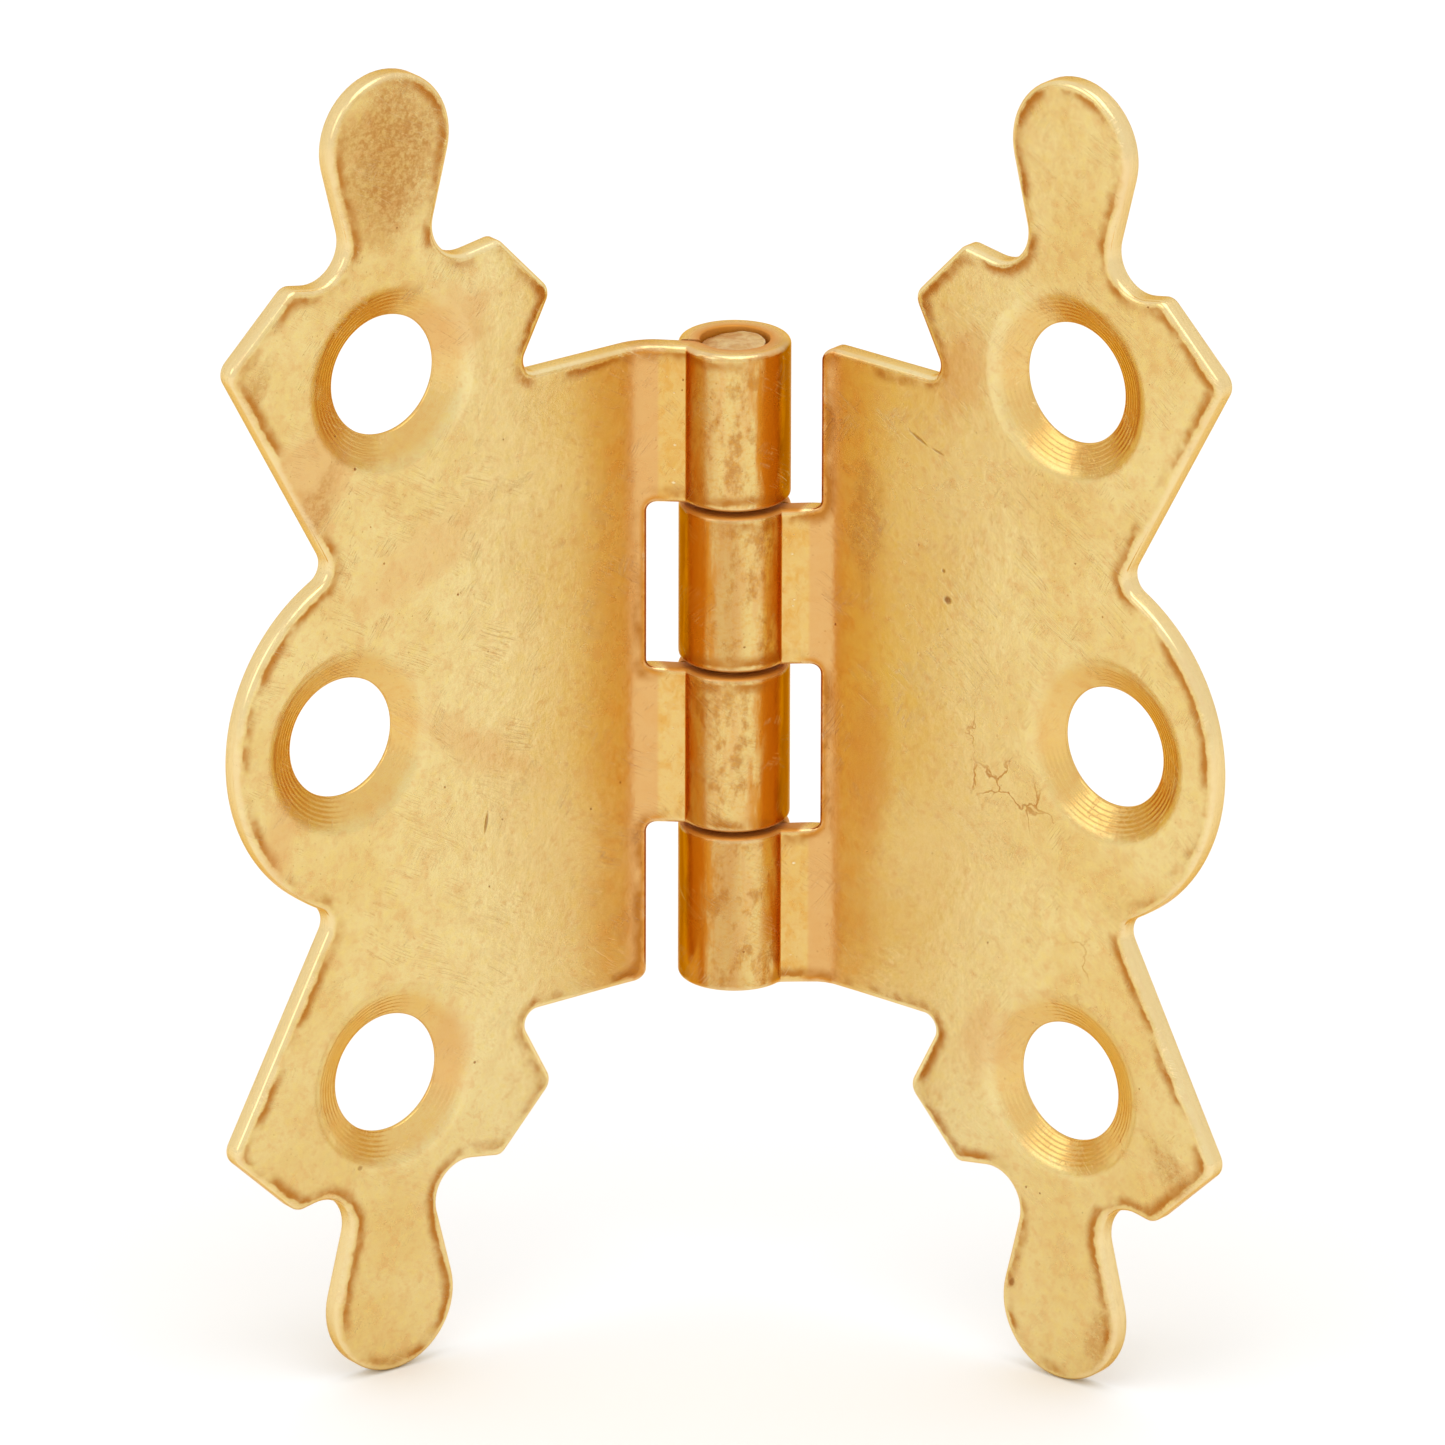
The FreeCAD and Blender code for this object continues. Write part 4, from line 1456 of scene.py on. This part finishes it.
@dataclass(frozen=True)
class Plating:
    """Bright brass plating on rolled sheet, mottled, pitted and rubbed at its edges, with painted
    light in its colour: shade and reflections on the bend, by the slots, in the countersinks, gaps
    and round the barrel, and a highlight along the edges.

    A band holds two distances in millimetres: where a treatment begins, and where it is full.
    They are along the sheet from the pin's axis, unless the name says that they are from a line
    or from the rim.
    """

    name: str
    seed: float
    dark_specks: tuple[Mark, ...] = ()
    brown_patches: tuple[Mark, ...] = ()
    crack_patches: tuple[Mark, ...] = ()
    warm_patches: tuple[Mark, ...] = ()
    front_line: float = -0.26
    # the line of the painted darker reflection band round the barrel
    shade_band_line: float = 0.54
    middle_inner: Band = (4.6, 7.0)
    middle_outer: Band = (15.0, 9.0)
    # bands of painted warm reflection beside the slots, and of painted shade on the bend and along
    # the slots' edges
    beside_slots: Band = (6.6, 4.0)
    bend_inner: Band = (2.78, 2.9)
    bend_outer: Band = (4.3, 3.7)
    slot_from_rim: Band = (0.42, 0.18)
    slot_inner: Band = (2.2, 3.0)
    slot_outer: Band = (3.75, 3.6)
    nicks_inner: Band = (1.9, 2.1)
    nicks_outer: Band = (2.55, 2.35)
    roll: Band = (1.5, 1.3)
    # bands of painted shade and reflection round the barrel
    shade_band_from_line: Band = (0.85, 0.15)
    flank_from_line: Band = (0.75, 1.35)
    deep_flank_from_line: Band = (1.7, 2.3)
    back_from_line: Band = (3.3, 2.5)
    # bands of painted shade in the knuckle gaps and inside the roll
    gap_from_rim: Band = (0.16, 0.05)
    gap_heights: Band = (12.4, 12.2)
    gap_outer: Band = (2.6, 2.2)
    bore: Band = (1.9, 1.6)
    edge_tint: Colour = (0.90, 0.58, 0.20, 1.0)
    pale: Colour = (0.79, 0.625, 0.27, 1.0)
    gold: Colour = (0.755, 0.55, 0.205, 1.0)
    bright: Colour = (0.88, 0.78, 0.42, 1.0)
    lemon: Colour = (0.82, 0.64, 0.20, 1.0)
    warm: Colour = (0.72, 0.36, 0.055, 1.0)
    pink: Colour = (0.71, 0.39, 0.14, 1.0)
    # colour of painted shade and reflected glow: slot edges, barrel flanks and knuckle gaps
    deep: Colour = (0.60, 0.22, 0.015, 1.0)
    umber: Colour = (0.46, 0.17, 0.022, 1.0)
    brown: Colour = (0.25, 0.065, 0.005, 1.0)
    pale_steel_and_highlight: Colour = (0.90, 0.72, 0.40, 1.0)

    def patches(self, wires: Wiring, place: Socket, marks: tuple[Mark, ...]) -> object:
        """The strongest of a list of marks at each point.

        Args:
            wires: Where the nodes go.
            place: The leaf's flat coordinates.
            marks: The marks.

        Returns:
            A mask, or zero where there are no marks.
        """
        total: object = 0.0
        for mark in marks:
            stain = Stain().place(
                wires,
                place=place,
                centre=(mark.x, mark.z, 0.0),
                turn=(0.0, 0.0, math.radians(mark.turn)),
                size=(mark.long, mark.wide, 1.0),
                ragged=mark.ragged,
            )
            total = wires.maths("MAXIMUM", total, wires.times(stain["Mark"], mark.strength))
        return total

    def by_the_slots(self, wires: Wiring, colour: object, x: object, clouds: object) -> Socket:
        """Painted warm reflection beside the slots, painted shade on the bend and along the slots'
        edges by the knuckles.

        Args:
            wires: Where the nodes go.
            colour: The colour so far.
            x: Distance from the pin along the sheet.
            clouds: The fine mottling.

        Returns:
            The new colour.
        """
        # painted warm reflection of the nearby brass, beside the slots
        uneven = wires.maths("MULTIPLY_ADD", clouds, 0.5, 0.5)
        near = wires.times(wires.span(x, *self.beside_slots), uneven)
        colour = wires.tinted(colour, self.warm, near, 0.75)
        # painted shade on the bend
        bend = wires.times(wires.span(x, *self.bend_inner), wires.span(x, *self.bend_outer))
        colour = wires.tinted(colour, self.pink, bend, 0.8)
        # painted shade along the slots' edges by the knuckles
        rim = wires.span(wires.value("rim"), *self.slot_from_rim)
        slot = wires.times(wires.span(x, *self.slot_inner), wires.span(x, *self.slot_outer))
        return wires.tinted(colour, self.deep, wires.times(rim, slot), 0.85)

    def on_the_roll(self, wires: Wiring, colour: object, x: object, place: object) -> Socket:
        """Streaked and blotched knuckles, with a painted darker reflection band across their fronts
        and painted reflection and shade on their flanks.

        Args:
            wires: Where the nodes go.
            colour: The colour so far.
            x: Distance from the pin along the sheet, which goes on round the roll.
            place: The pattern's coordinates.

        Returns:
            The new colour.
        """
        drawn = Streaks().place(wires, place=place, fine=3.2, long=0.45)
        rolled = wires.blend(wires.times(drawn["Streaks"], 0.6), self.gold, self.pink)
        rolled = wires.tinted(rolled, self.umber, drawn["Blotches"], 0.72)
        grain = wires.span(wires.noise(place, 7.0, 3.0, 0.7), 0.46, 0.66)
        rolled = wires.tinted(rolled, self.warm, grain, 0.4)
        # painted shade: a darker reflection band running along the barrel
        off_shade_band = wires.maths("ABSOLUTE", wires.maths("SUBTRACT", x, self.shade_band_line))
        shade_band = wires.span(off_shade_band, *self.shade_band_from_line)
        rolled = wires.tinted(rolled, self.umber, shade_band, 0.42)
        # painted reflection of the nearby leaf on the flanks in deep orange, then painted shade in
        # brown further round, both fading before the back
        off_front = wires.maths("ABSOLUTE", wires.maths("SUBTRACT", x, self.front_line))
        flank = wires.plus(off_front, wires.centred(drawn["Streaks"]), 0.35)
        before_back = wires.span(off_front, *self.back_from_line)
        beside = wires.times(wires.span(flank, *self.flank_from_line), before_back)
        rolled = wires.blend(beside, rolled, self.deep)
        behind = wires.times(wires.span(flank, *self.deep_flank_from_line), before_back)
        rolled = wires.tinted(rolled, self.brown, behind, 0.7)
        return wires.blend(wires.span(x, *self.roll), colour, rolled)

    def painted_gap_shade(self, wires: Wiring, x: object, z: object, side: object) -> Socket:
        """Painted shade, with a painted orange glow of reflected light, in the gaps between the
        knuckles and inside the roll round the pin.

        Args:
            wires: Where the nodes go.
            x: Distance from the pin along the sheet, which goes on round the roll.
            z: Height along the barrel.
            side: 0 on the sheet's front and 1 on its back.

        Returns:
            The mask.
        """
        between = wires.span(wires.maths("ABSOLUTE", z), *self.gap_heights)
        rim = wires.span(wires.value("rim"), *self.gap_from_rim)
        gap = wires.times(rim, between, wires.span(x, *self.gap_outer))
        return wires.maths("MAXIMUM", gap, wires.times(side, wires.span(x, *self.bore)))

    def sheet_colour(
        self, wires: Wiring, place: object, x: object, broad: Outputs, fine: Outputs
    ) -> Socket:
        """The plating's colour over the whole sheet before any wear, with painted shade and
        reflections on the bend, by the slots and round the barrel.

        Args:
            wires: Where the nodes go.
            place: The pattern's coordinates.
            x: Distance from the pin along the sheet.
            broad: The outputs of the broad mottling.
            fine: The outputs of the fine mottling.

        Returns:
            The colour.
        """
        colour = wires.blend(broad["Clouds"], self.pale, self.gold)
        colour = wires.tinted(colour, self.pink, fine["Clouds"], 0.4)
        middle = wires.times(wires.span(x, *self.middle_inner), wires.span(x, *self.middle_outer))
        colour = wires.tinted(colour, self.bright, middle, 0.55)
        tint = wires.noise(place, 2.6, 3.0, 0.7)
        colour = wires.tinted(colour, self.pink, wires.span(tint, 0.5, 0.7), 0.38)
        colour = wires.tinted(colour, self.lemon, wires.span(tint, 0.5, 0.32), 0.35)
        colour = wires.tinted(colour, self.warm, wires.span(fine["Grain"], 0.45, 0.7), 0.38)
        colour = self.by_the_slots(wires, colour, x, fine["Clouds"])
        return self.on_the_roll(wires, colour, x, place)

    def material(self) -> bpy.types.Material:
        """Builds the material.

        Returns:
            The material.
        """
        material, wires, shader = start_finish(self.name)
        flat = wires.value("flat", "Vector")
        shift = (self.seed * 7.0, self.seed * 3.0, self.seed)
        place = wires.moved(flat, shift, (1.0, 1.0, 9.0))
        x, z, side = wires.add("SeparateXYZ", {0: flat}).outputs
        sink = wires.value("sink")
        broad = Mottling().place(wires, place=place, scale=0.22, low=0.38, high=0.66)
        fine = Mottling().place(wires, place=place, scale=1.3, low=0.42, high=0.72)
        pits = Pits().place(wires, place=place, scale=1.5, size=0.11, share=0.16)
        specks = Pits().place(wires, place=place, scale=5.0, size=0.2, share=0.3)
        wear = EdgeWearAndPaintedLight().place(wires, rim=wires.value("rim"), place=place, reach=0.26)
        lines = Scratches().place(wires, place=place, angle=(0.0, 0.0, 0.55), scale=1.0, share=0.44)
        cross = Scratches().place(wires, place=place, angle=(0.0, 0.0, 2.2), scale=1.3, share=0.40)
        cracks = Cracks().place(wires, place=place, scale=0.5, width=0.026)

        colour = self.sheet_colour(wires, place, x, broad, fine)
        # painted shade: warmer colour down the countersink walls
        colour = wires.tinted(colour, self.warm, wires.span(sink, 0.05, 0.5), 0.4)
        # painted shade: a dark reflection band just inside the rounded edges
        colour = wires.tinted(colour, self.umber, wear["Band"], 0.95)
        colour = wires.blend(self.patches(wires, flat, self.warm_patches), colour, self.pink)
        grainy = wires.span(wires.noise(place, 5.0, 4.0, 0.75), 0.38, 0.62, 0.45, 1.15)
        brown = self.patches(wires, flat, self.brown_patches)
        dark = wires.maths("MULTIPLY", brown, grainy, clamp=True)
        colour = wires.blend(dark, colour, self.umber)
        drawn_out = wires.moved(place, (0.0, 0.0, 0.0), (0.7, 1.6, 1.0))
        ticks = Pits().place(wires, place=drawn_out, scale=2.6, size=0.3, share=0.5)
        beside = wires.times(wires.span(x, *self.nicks_inner), wires.span(x, *self.nicks_outer))
        nicks = wires.times(ticks["Pits"], beside)
        colour = wires.blend(nicks, colour, self.pale_steel_and_highlight)
        split = wires.times(cracks["Cracks"], self.patches(wires, flat, self.crack_patches))
        colour = wires.tinted(colour, self.umber, split, 0.9)
        holes = wires.maths("MAXIMUM", pits["Pits"], wires.times(specks["Pits"], 0.35))
        holes = wires.maths("MAXIMUM", holes, self.patches(wires, flat, self.dark_specks))
        colour = wires.tinted(colour, self.brown, holes, 0.75)
        hair = wires.maths("MAXIMUM", lines["Lines"], cross["Lines"])
        colour = wires.tinted(colour, self.pale_steel_and_highlight, hair, 0.35)
        # the pale line on the rounded edges is partly rubbed wear and partly a painted highlight
        colour = wires.tinted(colour, self.pale_steel_and_highlight, wear["RubbedHighlight"], 0.55)
        # painted shade with a reflected orange glow in the knuckle gaps and inside the roll, made
        # less metallic and rougher below
        painted_gap_shade = self.painted_gap_shade(wires, x, z, side)
        colour = wires.tinted(colour, self.deep, painted_gap_shade, 0.9)
        metal = wires.maths("MULTIPLY_ADD", painted_gap_shade, -0.6, 1.0)

        rough = wires.plus(0.17, broad["Clouds"], 0.08)
        rough = wires.plus(rough, fine["Clouds"], 0.07)
        rough = wires.plus(rough, dark, 0.2)
        rough = wires.plus(rough, wear["RubbedHighlight"], -0.05)
        rough = wires.plus(rough, sink, -0.06)
        rough = wires.plus(rough, painted_gap_shade, 0.3)

        height = wires.plus(wires.times(holes, -1.0), fine["Grain"], 0.18)
        height = wires.plus(height, hair, -0.35)
        height = wires.plus(height, nicks, -1.5)
        height = wires.plus(height, split, -0.5)
        height = wires.plus(height, wires.noise(place, 1.7, 3.0, 0.55), 0.9)
        bump = wires.add("Bump", {"Strength": 0.5, "Distance": 0.00003, "Height": height})

        looks = {"Base Color": colour, "Roughness": rough, "Normal": bump.outputs[0]}
        wires.feed(shader, looks | {"Metallic": metal, "Specular Tint": self.edge_tint})
        return material


@dataclass(frozen=True)
class DrawnWire:
    """Drawn brass wire, plated over, with torn and smeared ends."""

    name: str = "drawn_wire"
    gold: Colour = (0.80, 0.56, 0.22, 1.0)
    pale: Colour = (0.90, 0.74, 0.42, 1.0)
    warm: Colour = (0.60, 0.30, 0.08, 1.0)
    brown: Colour = (0.20, 0.08, 0.025, 1.0)

    def material(self) -> bpy.types.Material:
        """Builds the material.

        Returns:
            The material.
        """
        material, wires, shader = start_finish(self.name)
        place = wires.value("flat", "Vector")
        mottle = Mottling().place(wires, place=place, scale=1.2, low=0.36, high=0.62)
        pits = Pits().place(wires, place=place, scale=3.0, size=0.22, share=0.3)
        torn = Scratches().place(wires, place=place, angle=(0.0, 0.0, 0.9), scale=1.6, share=0.62)
        wear = EdgeWearAndPaintedLight().place(wires, rim=wires.value("rim"), place=place, reach=0.12)
        colour = wires.blend(mottle["Clouds"], self.gold, self.warm)
        colour = wires.tinted(colour, self.brown, pits["Pits"], 0.7)
        colour = wires.tinted(colour, self.pale, torn["Lines"], 0.6)
        # the pale line at the pin's rims is partly rubbed wear and partly a painted highlight
        colour = wires.tinted(colour, self.pale, wear["RubbedHighlight"], 0.6)
        rough = wires.plus(0.28, mottle["Clouds"], 0.15)
        height = wires.plus(mottle["Grain"], torn["Lines"], -0.6)
        height = wires.plus(height, pits["Pits"], -0.8)
        bump = wires.add("Bump", {"Strength": 0.7, "Distance": 0.00006, "Height": height})
        looks = {"Base Color": colour, "Roughness": rough, "Normal": bump.outputs[0]}
        wires.feed(shader, looks | {"Metallic": 1.0})
        return material


# ---------------------------------------------------------------------------
# Studio
# ---------------------------------------------------------------------------


@dataclass(frozen=True)
class Softbox:
    """A large soft light."""

    name: str
    azimuth: float
    elevation: float
    distance: float
    size: float
    power: float

    def build(self, aim: Vector) -> None:
        """Hangs the light and turns it to the hinge.

        Args:
            aim: The point that it shines at.
        """
        lamp = bpy.data.lights.new(self.name, "AREA")
        lamp.shape = "SQUARE"
        lamp.size = self.size
        lamp.energy = self.power
        hung = bpy.data.objects.new(self.name, lamp)
        bpy.context.scene.collection.objects.link(hung)
        away = direction(self.azimuth, self.elevation)
        hung.location = aim + away * self.distance
        hung.rotation_euler = away.to_track_quat("Z", "Y").to_euler()


def direction(azimuth: float, elevation: float) -> Vector:
    """Unit vector from the hinge towards a viewer.

    Args:
        azimuth: Degrees round from the front, positive to the right.
        elevation: Degrees above the horizon.

    Returns:
        The vector.
    """
    turn, rise = math.radians(azimuth), math.radians(elevation)
    level = math.cos(rise)
    return Vector((math.sin(turn) * level, -math.cos(turn) * level, math.sin(rise)))


@dataclass(frozen=True)
class Studio:
    """Plain pale floor, soft lights and the camera."""

    azimuth: float = -36.68
    elevation: float = 21.25
    roll: float = 0.125
    distance: float = 0.7078
    aside: float = -0.000436
    above: float = -0.002445
    lens: float = 475.5
    floor_size: float = 3.0
    floor_clearance: float = 0.00002
    floor_dull: Colour = (0.9, 0.9, 0.9, 1.0)
    floor_pale: Colour = (0.93, 0.93, 0.93, 1.0)
    sensor: float = 36.0
    nearest: float = 0.05
    furthest: float = 20.0
    air: float = 1.0
    lights: tuple[Softbox, ...] = (
        Softbox("top_light", -20.0, 75.0, 0.6, 0.5, 0.9),
        Softbox("left_light", -100.0, 30.0, 0.7, 0.4, 0.4),
    )

    def build_floor(self) -> None:
        """A pale floor under the hinge, with a faint unevenness in its paint."""
        level = CAD_BOX[0].z - self.floor_clearance
        half = self.floor_size / 2.0
        mesh = bpy.data.meshes.new("floor")
        sides = ((-half, -half), (half, -half), (half, half), (-half, half))
        mesh.from_pydata([(*side, level) for side in sides], [], [(0, 1, 2, 3)])
        floor = bpy.data.objects.new("floor", mesh)
        bpy.context.scene.collection.objects.link(floor)
        material, wires, shader = start_finish("pale_floor")
        place = wires.add("TexCoord").outputs["Object"]
        tone = wires.blend(wires.noise(place, 3.0), self.floor_dull, self.floor_pale)
        wires.feed(shader, {"Base Color": tone, "Roughness": 0.9, "Specular IOR Level": 0.1})
        mesh.materials.append(material)

    def build_camera(self) -> None:
        """The camera, at a long lens and slightly above."""
        back = direction(self.azimuth, self.elevation)
        turn = math.radians(self.azimuth)
        right = Vector((math.cos(turn), math.sin(turn), 0.0))
        rolled = Matrix.Rotation(math.radians(self.roll), 3, back)
        right = rolled @ right
        up = back.cross(right)
        data = bpy.data.cameras.new("camera")
        data.lens = self.lens
        data.sensor_width = self.sensor
        data.clip_start = self.nearest
        data.clip_end = self.furthest
        camera = bpy.data.objects.new("camera", data)
        bpy.context.scene.collection.objects.link(camera)
        place = right * self.aside + up * self.above + back * self.distance
        axes = Matrix((right, up, back)).transposed().to_4x4()
        camera.matrix_world = Matrix.Translation(place) @ axes
        bpy.context.scene.camera = camera

    def build_air(self) -> None:
        """Even white light from all round."""
        world = bpy.data.worlds.new("soft_room")
        bpy.context.scene.world = world
        world.use_nodes = True
        background = world.node_tree.nodes["Background"]
        background.inputs["Color"].default_value = (1.0, 1.0, 1.0, 1.0)
        background.inputs["Strength"].default_value = self.air

    def build(self) -> None:
        """Builds floor, lights, air and camera."""
        self.build_air()
        self.build_floor()
        self.build_camera()
        for light in self.lights:
            light.build(Vector((0.0, 0.0, 0.0)))
        bpy.context.scene.view_settings.view_transform = "Standard"


LEFT_PLATING = Plating(
    name="plated_sheet_left",
    seed=1.3,
    brown_patches=(
        Mark(14.6, -22.4, 4.6, 3.0, 78.0, 1.1, 0.62),
        Mark(20.6, -14.6, 1.6, 0.6, 60.0, 1.2, 0.4),
        Mark(18.2, -9.2, 2.6, 0.9, 55.0, 1.4, 0.45),
    ),
    warm_patches=(
        Mark(18.3, -10.4, 4.2, 2.2, 60.0, 1.2, 0.6),
        Mark(11.8, -15.2, 2.6, 1.8, 20.0, 1.2, 0.55),
        Mark(13.4, -6.4, 4.4, 1.6, 25.0, 1.3, 0.4),
        Mark(11.0, 1.4, 4.6, 1.0, -35.0, 1.5, 0.4),
        Mark(12.0, 13.6, 2.8, 1.2, 80.0, 1.3, 0.5),
        Mark(19.8, 3.4, 4.6, 0.9, 75.0, 1.3, 0.45),
    ),
    dark_specks=(
        Mark(10.4, 4.6, 0.55, 0.1, 80.0, 0.4, 0.8),
        Mark(16.2, 17.0, 0.16, 0.12, 0.0, 0.5, 0.7),
    ),
)
RIGHT_PLATING = Plating(
    name="plated_sheet_right",
    seed=4.9,
    shade_band_line=-0.86,
    brown_patches=(
        Mark(5.2, 6.2, 3.4, 1.1, 85.0, 1.4, 0.4),
        Mark(20.0, -15.9, 2.4, 0.8, -50.0, 1.3, 0.5),
        Mark(16.6, -23.4, 2.2, 0.9, 75.0, 1.3, 0.4),
    ),
    warm_patches=(
        Mark(5.4, -3.4, 4.4, 1.3, 85.0, 1.4, 0.55),
        Mark(9.6, 13.2, 2.6, 1.6, 60.0, 1.3, 0.5),
        Mark(17.6, 21.8, 3.2, 1.0, 80.0, 1.2, 0.5),
        Mark(10.9, -12.8, 2.4, 1.3, 70.0, 1.3, 0.45),
    ),
    dark_specks=(
        Mark(9.1, 4.1, 0.24, 0.2, 0.0, 0.5, 1.0),
        Mark(8.9, 5.2, 0.12, 0.09, 0.0, 0.5, 0.8),
        Mark(12.4, -22.2, 0.26, 0.16, 60.0, 0.5, 0.9),
        Mark(7.7, 10.1, 0.6, 0.09, -25.0, 0.5, 0.7),
        Mark(8.6, 9.8, 0.4, 0.07, -15.0, 0.5, 0.6),
    ),
    crack_patches=(
        Mark(12.0, -2.7, 3.0, 1.5, -15.0, 1.2, 0.75),
        Mark(10.6, -0.6, 1.5, 0.9, 40.0, 1.2, 0.5),
        Mark(15.4, -8.6, 2.0, 0.7, 80.0, 1.4, 0.45),
    ),
)


def main() -> None:
    """Builds the studio, then each piece in order, and reports it."""
    logging.basicConfig(level=logging.INFO, format="%(name)s: %(message)s")
    Studio().build()
    for hand, plating in ((Hand.LEFT, LEFT_PLATING), (Hand.RIGHT, RIGHT_PLATING)):
        piece = Leaf(hand).build()
        piece.data.materials.append(plating.material())
        log.info("%s has %d faces", piece.name, len(piece.data.polygons))
    pin = Pin().build()
    pin.data.materials.append(DrawnWire().material())
    log.info("%s has %d faces", pin.name, len(pin.data.polygons))


if __name__ == "__main__":
    main()
